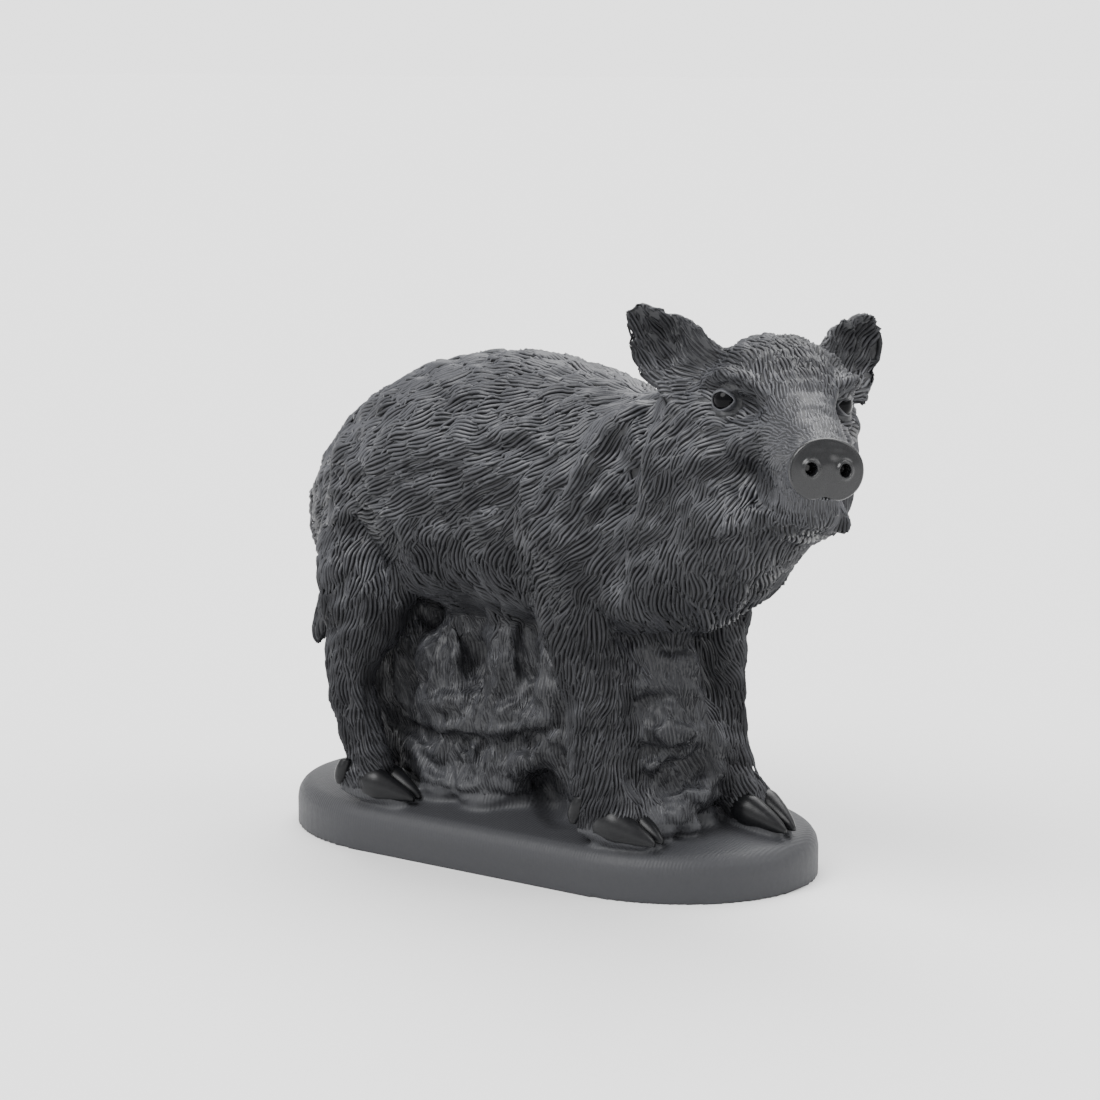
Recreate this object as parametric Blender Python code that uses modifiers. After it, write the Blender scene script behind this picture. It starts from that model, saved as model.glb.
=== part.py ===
"""A piglet standing over a rocky mound on an oval plinth, cast as one piece.

The figure is built up as a sculptor would in clay: rounded lumps are strung along the limbs,
fused into one skin, smoothed, carved with a few strokes, thinned to large facets and set on
the plinth. Metres, +Z up, the piglet faces +X, and the origin is the middle of the underside.
"""

import bmesh
import bpy
import numpy as np
from mathutils import Euler, Matrix, Vector

# The plinth, an oval with straight long sides and a rounded upper rim.
PLINTH_LENGTH = 0.350
PLINTH_WIDTH = 0.166
PLINTH_HEIGHT = 0.028
PLINTH_RIM_RADIUS = 0.012
PLINTH_END_LENGTH = 0.095

# The ground rises in rings from the rim towards the middle. Together they stay narrower than the
# radius of the plinth's ends, where wider rings would cross themselves.
GROUND_RING_RISES = (0.0022, 0.0018, 0.0012, 0.0006)
END_RADIUS = (PLINTH_WIDTH / 2) ** 2 / PLINTH_END_LENGTH
GROUND_RING_WIDTH = (END_RADIUS - PLINTH_RIM_RADIUS) / (len(GROUND_RING_RISES) + 1)

# The figure keeps its proportions: every station below is in shares of its height, from the
# top of the plinth to the tip of the higher ear. One share is one millimetre at this size.
FIGURE_HEIGHT = 0.300
SHARES_IN_HEIGHT = 300
SHARE = FIGURE_HEIGHT / SHARES_IN_HEIGHT

# How finely the clay is fused, and how many facets are kept of it.
BODY_GRAIN = 3.2 * SHARE
DETAIL_GRAIN = 2.1 * SHARE
FIGURE_FACETS = 8000
OUTLINE_POINTS = 80
RIM_SEGMENTS = 4

BLACK_RESIN = (0.018, 0.019, 0.022, 1.0)
RESIN_ROUGHNESS = 0.42

# The middle of the eyes, in shares, and how the head is turned, in degrees.
HEAD_PLACE = (199, -60, 255)
HEAD_TURN = -44
HEAD_LIFT = 3
HEAD_TILT = 3.5

# The ears: half the width of the leaf, where it starts to taper, how deep it is cupped, how
# thick it is, and for each its root, its tip and the way its hollow faces, in the head's frame.
EAR_HALF_WIDTH = 21.0
EAR_SHOULDER = 0.45
EAR_CUP = 9.0
EAR_THICKNESS = 5.0
EARS = (
    ((-28, -40, 8), (-46, -78, 47), (0.95, -0.25, 0.15)),
    ((-28, 32, 12), (-54, 61, 46), (0.90, 0.36, 0.10)),
)


# Each leg from the shoulder or hip to the fetlock: x, y, z and the radii forward, sideways and up.
LEGS = (
    (
        (64, -52, 166, 36, 26, 44),
        (66, -62, 132, 28, 22, 30),
        (74, -66, 104, 21, 17.5, 20),
        (79, -66, 72, 18, 15.5, 17),
        (82, -66, 46, 18, 15, 16),
        (86, -66, 26, 19, 15.5, 13),
        (93, -65, 15, 18, 14, 10),
    ),
    (
        (110, -10, 158, 32, 26, 42),
        (114, -2, 128, 25, 21, 28),
        (116, 0, 100, 19, 17, 20),
        (118, 2, 72, 16.5, 15, 17),
        (121, 4, 46, 15, 14, 16),
        (127, 6, 26, 15, 14, 12),
        (136, 7, 15, 16, 13, 9),
    ),
    (
        (-98, -42, 150, 40, 29, 50),
        (-93, -60, 118, 29, 21, 34),
        (-96, -67, 92, 20, 15, 22),
        (-98, -69, 76, 17, 14, 16),
        (-91, -69, 50, 15, 13, 16),
        (-85, -69, 30, 15, 13, 13),
        (-78, -69, 16, 14, 12, 10),
    ),
    (
        (-110, 28, 150, 42, 30, 50),
        (-112, 42, 118, 30, 22, 34),
        (-117, 50, 92, 21, 16, 22),
        (-119, 52, 76, 18, 14, 16),
        (-113, 53, 50, 15, 13, 16),
        (-106, 53, 30, 15, 13, 13),
        (-99, 53, 16, 14, 12, 10),
    ),
)
# The feet: where each stands, which way it points and its size.
FEET = (
    (97, -65, -2, 1.0),
    (141, 7, -10, 1.0),
    (-74, -68, 6, 0.94),
    (-95, 53, -4, 0.94),
)
HOOF_CLEFT = ((-4, 0, 18), (8, 0, 14), (18, 0, 9), (26, 0, 5))

# Strokes of a rounded tool over the smoothed clay: the path, the tool's reach and the depth it
# cuts, which is below 0 where clay is laid on. First the folds of the body.
BODY_STROKES = (
    (((118, -65, 253), (126, -86, 239), (124, -93, 220), (119, -94, 201), (108, -91, 188)), 13, 8),
    (((134, -82, 246), (140, -96, 226), (136, -98, 204), (124, -96, 188)), 12, -4),
    (((114, -67, 250), (98, -69, 242), (89, -75, 233), (84, -84, 212), (76, -90, 193)), 12, -5),
    (((108, -82, 232), (104, -92, 212), (100, -93, 198)), 12, 5),
    (((134, -92, 179), (152, -96, 181), (177, -104, 184), (199, -104, 190)), 9, 3.5),
    (((28, -82, 208), (34, -87, 184), (36, -84, 159), (34, -72, 138)), 14, 5),
    (((26, 54, 206), (30, 54, 180), (34, 50, 156)), 14, 4),
    (((66, -90, 186), (72, -86, 156), (72, -80, 134)), 24, -5),
    (((66, 36, 186), (74, 30, 156)), 24, -4),
    (((102, -84, 138), (120, -84, 142)), 18, -6),
    (((98, -60, 117), (116, -56, 121), (134, -44, 126)), 10, 7),
    (((-98, -72, 168), (-84, -74, 156), (-74, -71, 143), (-70, -66, 126)), 11, 8),
    (((-98, 52, 168), (-84, 54, 156), (-74, 51, 140)), 11, 6),
    (((-86, -75, 182), (-57, -79, 172), (-44, -74, 155), (-36, -62, 138)), 13, -4),
    (((-86, 52, 182), (-57, 56, 172), (-44, 52, 155)), 13, -3),
    (((-120, -48, 214), (-110, -62, 190), (-108, -66, 160)), 16, -3),
    (((-52, -76, 214), (-60, -80, 190), (-62, -78, 176)), 9, 2),
    (((-30, -78, 216), (-34, -82, 190), (-30, -78, 166)), 9, 2),
    (((-6, -80, 218), (-8, -84, 190), (-4, -80, 160)), 9, 2),
    (((44, -62, 240), (48, -78, 220), (50, -84, 200)), 9, 2.5),
)
# The pits, ledges and lumps of the rock, on the near side, between the front legs and behind.
ROCK_STROKES = (
    (((-70, -40, 116), (-62, -42, 108)), 15, 13),
    (((-75, -46, 86), (-73, -46, 72), (-66, -46, 60)), 8, 7),
    (((-21, -45, 100), (-22, -45, 86), (-18, -45, 74)), 10, 10),
    (((22, -48, 98), (25, -48, 86), (27, -48, 76)), 9, 9),
    (((-50, -46, 104), (-46, -46, 92)), 8, 6),
    (((-94, -30, 60), (-86, -40, 43), (-56, -48, 39), (-28, -54, 37), (0, -54, 39)), 7, 6),
    (((0, -54, 39), (20, -52, 45), (40, -50, 57)), 6, 5),
    (((28, -50, 8), (32, -46, 20), (28, -46, 30)), 13, 12),
    (((-30, -50, 17), (-28, -50, 8)), 7, 4),
    (((-12, -50, 26), (-14, -50, 18)), 6, 3),
    (((95, -54, 80), (113, -46, 81)), 6, 5),
    (((103, -52, 75), (107, -50, 64)), 6, 4),
    (((94, -46, 40), (114, -40, 44), (128, -30, 48)), 14, 12),
    (((110, -50, 64), (124, -44, 63)), 11, -4),
    (((-30, 42, 98), (-28, 42, 74)), 10, 8),
    (((8, 42, 102), (6, 42, 78)), 10, 8),
    (((46, 40, 98), (48, 40, 80)), 9, 7),
    (((-62, 36, 90), (-58, 38, 66)), 10, 8),
    (((-84, 40, 40), (-40, 50, 38), (0, 52, 42), (50, 46, 50)), 7, 6),
    (((84, 26, 20), (86, 24, 40)), 13, 10),
    (((-128, 4, 76), (-130, 8, 48)), 9, 6),
    (((-124, -22, 60), (-126, -18, 34)), 8, 5),
)
# The face, drawn on one side and mirrored: socket, brow, cheek hollow and mouth.
FACE_STROKES = (
    (((-6, 38, 0), (4, 34, 0), (14, 29, -3), (24, 23, -4)), 10, 6),
    (((-12, 38, 14), (0, 35, 15), (14, 28, 12), (25, 20, 7)), 9, -3.5),
    (((10, 38, -13), (24, 29, -15)), 9, 3),
    (((14, 34, -39), (30, 25, -44), (50, 18, -46), (66, 14, -46), (80, 6, -45)), 6, 4.5),
    (((0, 0, 40), (22, 0, 12)), 12, 1.5),
)
# The big locks of the coat lie in rows: the first stroke, the step to the next and how many.
LOCK_REACH = 7.5
LOCK_DEPTH = 3.4
LOCK_SWAY = 3.0
MIDLINE = -11
BODY_LOCKS = (
    (((34, -86, 146), (6, -86, 146), (-22, -86, 146), (-50, -83, 146)), (2, 3.5, 13), 8),
    (((-72, -82, 168), (-94, -76, 166), (-114, -62, 162), (-128, -48, 152)), (1, 2, 13), 6),
    (((-78, -84, 138), (-94, -84, 134), (-110, -76, 126)), (-3, 0, -14), 3),
    (((80, -94, 214), (66, -92, 196), (56, -90, 178)), (-6, 6, 16), 3),
    (((82, -94, 176), (76, -90, 156), (68, -84, 136)), (16, -2, 2), 3),
)
NEAR_LOCKS = (
    (((120, -72, 246), (106, -82, 234), (94, -88, 220)), (-1, -4, -14), 4),
    (((150, -98, 172), (140, -88, 158), (132, -78, 146)), (15, -2, 5), 4),
    (((66, -84, 116), (72, -84, 92), (74, -83, 66), (74, -82, 44)), (12, -1, 0), 2),
    (((108, -14, 112), (112, -14, 88), (116, -12, 62)), (11, -2, 0), 2),
    (((-110, -80, 108), (-110, -84, 84), (-104, -84, 60)), (11, -1, 0), 2),
)
HEAD_LOCKS = (
    (((26, 34, -8), (2, 46, -12), (-24, 56, -24)), (-3, 3, -13), 4),
    (((22, 6, 10), (8, 8, 26), (-12, 11, 36), (-34, 14, 38)), (-4, 10, 0), 3),
)
# Nostrils, the notch under the snout and the groove round each eye.
FINE_FACE_STROKES = (
    (((93, 9, -25), (93, 9, -25.5), (93, 9.4, -26.5)), 6.5, 9),
    (((92, 0, -43), (91, 0, -43), (90, 0, -42)), 5, 4),
)


def clear_scene():
    """Empties the scene that the script starts in."""
    for obj in list(bpy.data.objects):
        bpy.data.objects.remove(obj, do_unlink=True)


def resin():
    """The satin black of the whole casting."""
    material = bpy.data.materials.new("black_resin")
    material.use_nodes = True
    shader = material.node_tree.nodes["Principled BSDF"]
    shader.inputs["Base Color"].default_value = BLACK_RESIN
    shader.inputs["Roughness"].default_value = RESIN_ROUGHNESS
    shader.inputs["Metallic"].default_value = 0.0
    return material


def new_object(name, mesh, collection):
    """Links a mesh into the scene as a named object."""
    obj = bpy.data.objects.new(name, mesh)
    collection.objects.link(obj)
    return obj


def applied(obj):
    """The object with its modifiers turned into plain mesh."""
    graph = bpy.context.evaluated_depsgraph_get()
    graph.update()
    mesh = bpy.data.meshes.new_from_object(obj.evaluated_get(graph))
    obj.modifiers.clear()
    obj.data = mesh
    return obj


def head_matrix():
    """Carries a place in the head's frame (forward, left, up, from between the eyes) to the figure's."""
    turned = Euler(np.radians((-HEAD_TILT, -HEAD_LIFT, HEAD_TURN)), "XYZ").to_matrix().to_4x4()
    return Matrix.Translation(Vector(HEAD_PLACE)) @ turned


def place_matrix(x, y, z=0.0, yaw=0.0):
    """Carries a place in a foot's or lump's frame to the figure's."""
    return Matrix.Translation(Vector((x, y, z))) @ Matrix.Rotation(np.radians(yaw), 4, "Z")


def smooth_path(stations, steps):
    """Points on a smooth curve through the stations, with every column eased alike."""
    knots = np.asarray(stations, float)
    padded = np.vstack([2 * knots[0] - knots[1], knots, 2 * knots[-1] - knots[-2]])
    path = []
    for i in range(len(knots) - 1):
        before, start, end, after = padded[i : i + 4]
        for t in np.linspace(0, 1, steps, endpoint=False):
            path.append(
                start
                + 0.5 * t * (end - before)
                + t * t * (before - 2.5 * start + 2 * end - 0.5 * after)
                + t * t * t * (1.5 * (start - end) + 0.5 * (after - before))
            )
    path.append(knots[-1])
    return np.array(path)


def add_bead(clay, frame, centre, radii, yaw=0.0):
    """Adds one ellipsoid of clay."""
    size = Matrix.Diagonal((*radii, 1.0))
    turn = Matrix.Rotation(yaw, 4, "Z")
    matrix = frame @ Matrix.Translation(Vector(centre)) @ turn @ size
    bmesh.ops.create_icosphere(clay, subdivisions=3, radius=1.0, matrix=matrix)


def add_beads(clay, stations, steps=5, frame=Matrix(), follow=False):
    """Strings ellipsoids along stations (x, y, z, radius forward, sideways, up)."""
    path = smooth_path(stations, steps)
    slopes = np.gradient(path[:, :2], axis=0)
    for station, slope in zip(path, slopes):
        yaw = float(np.arctan2(slope[1], slope[0])) if follow else 0.0
        add_bead(clay, frame, station[:3], np.maximum(station[3:], 1.0), yaw)


def add_trunk(clay):
    """The body, which bends to the piglet's right from the ribs on, and the neck."""
    add_beads(clay, [
        (-132, -6, 161, 35, 40, 47),
        (-106, -7, 175, 42, 57, 62),
        (-62, -11, 185, 48, 69, 75),
        (-10, -13, 189, 48, 72, 80),
        (38, -19, 186, 46, 70, 77),
        (78, -29, 181, 42, 64, 72),
        (106, -38, 172, 36, 54, 58),
    ], follow=True)
    add_beads(clay, [
        (84, -31, 190, 44, 56, 62),
        (118, -42, 198, 42, 52, 58),
        (146, -50, 212, 36, 48, 54),
        (166, -54, 226, 32, 42, 46),
    ], follow=True)


def add_throat(clay):
    """The ruff that fills the space from the jaw down to the breast."""
    add_beads(clay, [
        (110, -41, 155, 39, 48, 40),
        (140, -49, 163, 34, 43, 35),
        (166, -62, 178, 32, 39, 32),
        (193, -77, 196, 28, 33, 25),
    ], follow=True)
    add_beads(clay, [
        (142, -58, 150, 14, 18, 16),
        (150, -60, 138, 7, 8, 12),
        (152, -61, 127, 3, 4, 6),
    ], steps=4)


def add_head(clay):
    """Skull, brow, cheeks, muzzle and jaw, in the head's own frame."""
    head = head_matrix()
    add_bead(clay, head, (-24, 0, 2), (44, 42, 35))
    add_bead(clay, head, (-4, 0, 9), (28, 36, 22))
    add_bead(clay, head, (-26, -32, -34), (40, 30, 42))
    add_bead(clay, head, (-24, 22, -34), (38, 28, 38))
    for side in (-1, 1):
        add_bead(clay, head, (-16, 24 * side, -13), (26, 23, 19))
    for side in (-1, 1):
        add_bead(clay, head, (-2, 24 * side, 10), (18, 13, 9))
    add_beads(clay, [
        (0, 0, -14, 34, 32, 30),
        (30, 0, -18, 26, 25, 25),
        (58, 0, -23, 20, 20, 19),
        (80, 0, -26, 12, 18.5, 16),
    ], frame=head)
    add_beads(clay, [
        (-14, -2, -56, 36, 38, 20),
        (22, 2, -54, 28, 28, 17),
        (44, 3, -50, 22, 20, 15),
        (60, 3, -47, 15, 17, 13),
    ], frame=head)


def add_legs(clay):
    """Four legs, each braced against the mound."""
    for stations in LEGS:
        add_beads(clay, stations)


def add_mound(clay):
    """The rocky mass that fills the space under the belly."""
    add_bead(clay, Matrix(), (0, -6, -4), (120, 48, 16))
    add_beads(clay, [
        (-112, -8, 100, 34, 38, 44),
        (-104, -10, 46, 26, 28, 60),
        (-76, -12, 50, 30, 30, 76),
        (-40, -12, 60, 34, 32, 80),
        (10, -14, 60, 34, 32, 80),
        (60, -20, 60, 34, 36, 76),
        (100, -30, 56, 26, 28, 74),
    ], steps=3)
    for x, y, z, rx, ry, rz in (
        (-78, -32, 74, 15, 12, 34),
        (-50, -38, 80, 19, 14, 28),
        (0, -42, 88, 14, 14, 36),
        (36, -44, 78, 14, 14, 34),
        (-22, -32, 84, 22, 12, 34),
        (-34, -44, 56, 34, 15, 19),
        (2, -44, 56, 34, 15, 19),
        (36, -44, 56, 22, 15, 17),
        (-56, -38, 24, 26, 14, 17),
        (-26, -44, 24, 24, 13, 16),
        (4, -44, 26, 20, 13, 17),
        (-44, -52, 8, 15, 9, 10),
        (-12, -54, 10, 16, 9, 11),
        (24, -46, 34, 12, 12, 14),
        (122, -14, 44, 14, 14, 30),
        (98, -46, 92, 16, 14, 26),
        (114, -36, 92, 16, 14, 24),
        (114, -42, 62, 18, 15, 15),
        (100, -46, 66, 12, 12, 18),
        (112, -34, 26, 26, 16, 12),
        (114, -46, 14, 17, 10, 9),
        (-58, 18, 92, 22, 16, 34),
        (-18, 20, 84, 22, 20, 38),
        (26, 20, 92, 24, 18, 34),
        (72, 8, 84, 24, 22, 36),
        (-38, 26, 42, 30, 20, 26),
        (12, 28, 36, 30, 20, 24),
        (58, 22, 36, 26, 20, 24),
        (-74, 26, 22, 20, 18, 20),
        (-10, 40, 12, 24, 14, 14),
        (34, 42, 10, 18, 12, 12),
    ):
        add_bead(clay, Matrix(), (x, y, z), (rx, ry, rz))


def add_tail(clay):
    """A thin tail that hangs down the rump to a tuft."""
    add_beads(clay, [
        (-158, -4, 186, 9, 9, 12),
        (-166, -3, 160, 6, 6, 10),
        (-163, -6, 134, 5.5, 5.5, 9),
        (-161, -11, 110, 6, 6, 9),
        (-163, -15, 92, 8, 7, 10),
        (-166, -17, 80, 5, 4, 5),
    ])


def add_eyes(clay):
    """The eyeballs."""
    for side in (-1, 1):
        add_bead(clay, head_matrix(), (-3.5, 30 * side, 1.5), (7.5, 7.5, 7))


def add_tufts(clay):
    """The pointed tufts of the beard."""
    add_beads(clay, [(40, 18, -54, 9, 9, 7), (44, 25, -60, 4, 4, 5)], steps=3, frame=head_matrix())
    add_beads(clay, [(-30, -62, -70, 12, 9, 8), (-44, -68, -80, 4, 4, 5)], steps=3, frame=head_matrix())


def add_foot(clay, x, y, yaw, size=1.0):
    """A cloven hoof of two pointed toes, with two dewclaws behind."""
    foot = place_matrix(x, y, 0, yaw) @ Matrix.Scale(size, 4)
    for side in (-1, 1):
        add_beads(clay, [
            (-13, 8 * side, 12, 9, 7.5, 11),
            (0, 8 * side, 11, 11, 7.3, 11),
            (13, 6.5 * side, 7, 8, 5.2, 7),
            (22, 4.5 * side, 4, 3.5, 3, 4),
        ], frame=foot)
        add_beads(clay, [
            (-18, 12 * side, 20, 5, 4.5, 7),
            (-21, 13 * side, 9, 3, 3, 6),
        ], steps=3, frame=foot)


def add_feet(clay):
    """The four feet, each a little turned from the next."""
    for foot in FEET:
        add_foot(clay, *foot)


def ear_mesh(root, tip, facing):
    """A cupped leaf with a pointed end, in the head's frame, whose hollow side faces one way."""
    root, tip, facing = Vector(root), Vector(tip), Vector(facing)
    along = tip - root
    across = facing.cross(along).normalized()
    out = along.cross(across).normalized()
    leaf = bmesh.new()
    bmesh.ops.create_grid(leaf, x_segments=12, y_segments=14, size=1.0)
    for vert in leaf.verts:
        side, share = vert.co.x, (vert.co.y + 1) / 2
        taper = max(0.0, (share - EAR_SHOULDER) / (1 - EAR_SHOULDER))
        half = EAR_HALF_WIDTH * (1 - 0.86 * taper**1.5)
        cup = EAR_CUP * (1 - 0.6 * share) * side * side - 4 * np.sin(np.pi * share)
        vert.co = root + along * share + across * side * half + out * cup
    mesh = bpy.data.meshes.new("ear")
    leaf.to_mesh(mesh)
    leaf.free()
    mesh.transform(head_matrix())
    return mesh


def snout_mesh():
    """The flat disc of the snout, a short oval drum with a rounded rim."""
    disc = bmesh.new()
    bmesh.ops.create_cone(
        disc, cap_ends=True, segments=40, radius1=1.0, radius2=1.0, depth=1.0
    )
    mesh = bpy.data.meshes.new("snout")
    disc.to_mesh(mesh)
    disc.free()
    facing = Matrix.Rotation(np.radians(90), 4, "Y") @ Matrix.Diagonal((16.0, 19.5, 9.0, 1.0))
    mesh.transform(head_matrix() @ Matrix.Translation(Vector((88, 0, -27))) @ facing)
    return mesh


def fused(name, clay, collection, grain, rounds):
    """Fuses overlapping clay into one skin and smooths it."""
    mesh = bpy.data.meshes.new(name)
    clay.to_mesh(mesh)
    clay.free()
    mesh.transform(Matrix.Scale(SHARE, 4))
    obj = new_object(name, mesh, collection)
    return refused(obj, grain, rounds)


def refused(obj, grain, rounds):
    """Remakes an object's skin on a grid of this grain, and smooths it."""
    remesh = obj.modifiers.new("fuse", "REMESH")
    remesh.mode = "VOXEL"
    remesh.voxel_size = grain
    smooth = obj.modifiers.new("smooth", "SMOOTH")
    smooth.factor = 0.5
    smooth.iterations = rounds
    return applied(obj)


def seen_from(frame, path, side=1):
    """A path given in a frame, mirrored there when side is -1, in the figure's coordinates."""
    return [tuple(frame @ Vector((x, y * side, z))) for x, y, z in path]


def carve(obj, path, width, depth):
    """Draws a rounded tool along a path on the skin, which cuts in, or raises where depth is below 0."""
    count = len(obj.data.vertices)
    places = np.empty(count * 3)
    normals = np.empty(count * 3)
    obj.data.vertices.foreach_get("co", places)
    obj.data.vertices.foreach_get("normal", normals)
    places = places.reshape(-1, 3) / SHARE
    normals = normals.reshape(-1, 3)
    ends = np.asarray(path, float)
    ends = np.array([places[np.argmin(((places - end) ** 2).sum(axis=1))] for end in ends])
    track = smooth_path(ends, 8)
    near = ((places > track.min(axis=0) - width) & (places < track.max(axis=0) + width)).all(axis=1)
    spots = np.flatnonzero(near)
    gaps = ((places[spots, None, :] - track[None, :, :]) ** 2).sum(axis=2)
    along = gaps.argmin(axis=1) / (len(track) - 1)
    share = np.clip(1 - np.sqrt(gaps.min(axis=1)) / width, 0, 1)
    ease = np.clip(0.4 + 2.4 * np.minimum(along, 1 - along), 0, 1)
    push = depth * ease * share * share * (3 - 2 * share)
    places[spots] -= normals[spots] * push[:, None]
    obj.data.vertices.foreach_set("co", (places * SHARE).ravel())
    obj.data.update()


def lock_paths(rows):
    """The swaying strokes of each row of locks."""
    for path, step, count in rows:
        for i in range(round(count)):
            yield [
                (x + step[0] * i, y + step[1] * i, z + step[2] * i + LOCK_SWAY * (-1) ** (i + j))
                for j, (x, y, z) in enumerate(path)
            ]


def comb(obj):
    """Cuts the big locks of fur."""
    for path in lock_paths(BODY_LOCKS):
        carve(obj, path, LOCK_REACH, LOCK_DEPTH)
        carve(obj, [(x, 2 * MIDLINE - y, z) for x, y, z in path], LOCK_REACH, LOCK_DEPTH)
    for path in lock_paths(NEAR_LOCKS):
        carve(obj, path, LOCK_REACH, LOCK_DEPTH)
    for path in lock_paths(HEAD_LOCKS):
        for side in (-1, 1):
            carve(obj, seen_from(head_matrix(), path, side), LOCK_REACH, LOCK_DEPTH)


def join_meshes(target, meshes):
    """Adds more closed shells to an object's mesh, to be fused next."""
    joined = bmesh.new()
    joined.from_mesh(target.data)
    for mesh in meshes:
        joined.from_mesh(mesh)
    joined.to_mesh(target.data)
    joined.free()


def build_figure(collection):
    """The piglet and the mound under it, as one skin with large facets."""
    clay = bmesh.new()
    for add in (add_trunk, add_throat, add_head, add_legs, add_mound):
        add(clay)
    figure = fused("figure", clay, collection, BODY_GRAIN, 14)

    for path, width, depth in BODY_STROKES + ROCK_STROKES:
        carve(figure, path, width, depth)
    for path, width, depth in FACE_STROKES:
        for side in (-1, 1):
            carve(figure, seen_from(head_matrix(), path, side), width, depth)
    comb(figure)

    clay = bmesh.new()
    add_feet(clay)
    add_tail(clay)
    add_eyes(clay)
    add_tufts(clay)
    details = fused("details", clay, collection, DETAIL_GRAIN, 3)
    extras = [details.data]
    for root, tip, facing in EARS:
        mesh = ear_mesh(root, tip, facing)
        mesh.transform(Matrix.Scale(SHARE, 4))
        ear = new_object("ear", mesh, collection)
        solidify = ear.modifiers.new("thickness", "SOLIDIFY")
        solidify.thickness = EAR_THICKNESS * SHARE
        solidify.offset = 0.0
        extras.append(applied(ear).data)
        bpy.data.objects.remove(ear)
    snout = snout_mesh()
    snout.transform(Matrix.Scale(SHARE, 4))
    extras.append(snout)
    join_meshes(figure, extras)
    bpy.data.objects.remove(details)
    refused(figure, DETAIL_GRAIN, 2)
    for path, width, depth in FINE_FACE_STROKES:
        for side in (-1, 1):
            carve(figure, seen_from(head_matrix(), path, side), width, depth)
    for x, y, yaw, size in FEET:
        foot = place_matrix(x, y, 0, yaw) @ Matrix.Scale(size, 4)
        carve(figure, seen_from(foot, HOOF_CLEFT), 4, 4.5)
    figure.data.transform(Matrix.Translation(Vector((0, 0, PLINTH_HEIGHT))))

    decimate = figure.modifiers.new("facets", "DECIMATE")
    faces = sum(len(p.vertices) - 2 for p in figure.data.polygons)
    decimate.ratio = FIGURE_FACETS / faces
    return applied(figure)


def plinth_outline():
    """Points round the plinth: two half ellipses joined by straight sides."""
    turns = np.linspace(0, 2 * np.pi, OUTLINE_POINTS, endpoint=False) + np.pi / OUTLINE_POINTS
    straight = PLINTH_LENGTH / 2 - PLINTH_END_LENGTH
    x = np.cos(turns) * PLINTH_END_LENGTH + np.sign(np.cos(turns)) * straight
    y = np.sin(turns) * PLINTH_WIDTH / 2
    return np.stack([x, y], axis=1)


def build_plinth(name, collection):
    """The oval slab with its rounded upper rim."""
    curve = bpy.data.curves.new(name, "CURVE")
    curve.dimensions = "2D"
    curve.fill_mode = "BOTH"
    curve.extrude = PLINTH_HEIGHT / 2
    spline = curve.splines.new("POLY")
    outline = plinth_outline()
    spline.points.add(len(outline) - 1)
    for point, (x, y) in zip(spline.points, outline):
        point.co = (x, y, 0, 1)
    spline.use_cyclic_u = True
    drawn = new_object(name + "_outline", curve, collection)
    graph = bpy.context.evaluated_depsgraph_get()
    mesh = bpy.data.meshes.new_from_object(drawn.evaluated_get(graph))
    bpy.data.objects.remove(drawn)

    slab = bmesh.new()
    slab.from_mesh(mesh)
    bmesh.ops.remove_doubles(slab, verts=slab.verts, dist=1e-6)
    bmesh.ops.dissolve_limit(slab, angle_limit=0.01, verts=slab.verts, edges=slab.edges)
    bmesh.ops.translate(slab, verts=slab.verts, vec=(0, 0, PLINTH_HEIGHT / 2))
    rim = [
        edge
        for edge in slab.edges
        if all(vert.co.z > PLINTH_HEIGHT * 0.99 for vert in edge.verts)
    ]
    bmesh.ops.bevel(
        slab, geom=rim, offset=PLINTH_RIM_RADIUS, segments=RIM_SEGMENTS, profile=0.5, affect="EDGES"
    )
    bmesh.ops.recalc_face_normals(slab, faces=slab.faces)
    ground = [max(slab.faces, key=lambda face: face.calc_center_median().z)]
    for rise in GROUND_RING_RISES:
        bmesh.ops.inset_region(slab, faces=ground, thickness=GROUND_RING_WIDTH, depth=0)
        bmesh.ops.translate(slab, verts=ground[0].verts, vec=(0, 0, rise))
    slab.to_mesh(mesh)
    slab.free()
    return new_object(name, mesh, collection)


def set_on_plinth(plinth, figure):
    """Joins the figure and the plinth into one casting."""
    union = plinth.modifiers.new("casting", "BOOLEAN")
    union.operation = "UNION"
    union.solver = "EXACT"
    union.object = figure
    applied(plinth)
    bpy.data.objects.remove(figure)
    return plinth


def main():
    """Builds the whole sculpture."""
    clear_scene()
    collection = bpy.data.collections.new("piglet_sculpture")
    bpy.context.scene.collection.children.link(collection)
    figure = build_figure(collection)
    sculpture = set_on_plinth(build_plinth("piglet_on_plinth", collection), figure)
    sculpture.data.materials.clear()
    sculpture.data.materials.append(resin())
    sculpture.data.shade_smooth()


main()
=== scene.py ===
"""The looks of the piglet sculpture: a satin black casting with combed fur over a rough rock.

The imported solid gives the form. Its skin is remade finely, the folds, face and rock are tooled
into it, and the coat is laid over it in combed tufts that follow the lie of the hair. Places read
from the photograph are pixels of its 1100 x 1100 frame, and are cast through the camera onto the
solid. Lengths are metres unless a name says otherwise.
"""

import bmesh
import bpy
import numpy as np
from mathutils import Euler, Matrix, Vector
from mathutils.bvhtree import BVHTree
from mathutils.kdtree import KDTree


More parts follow.
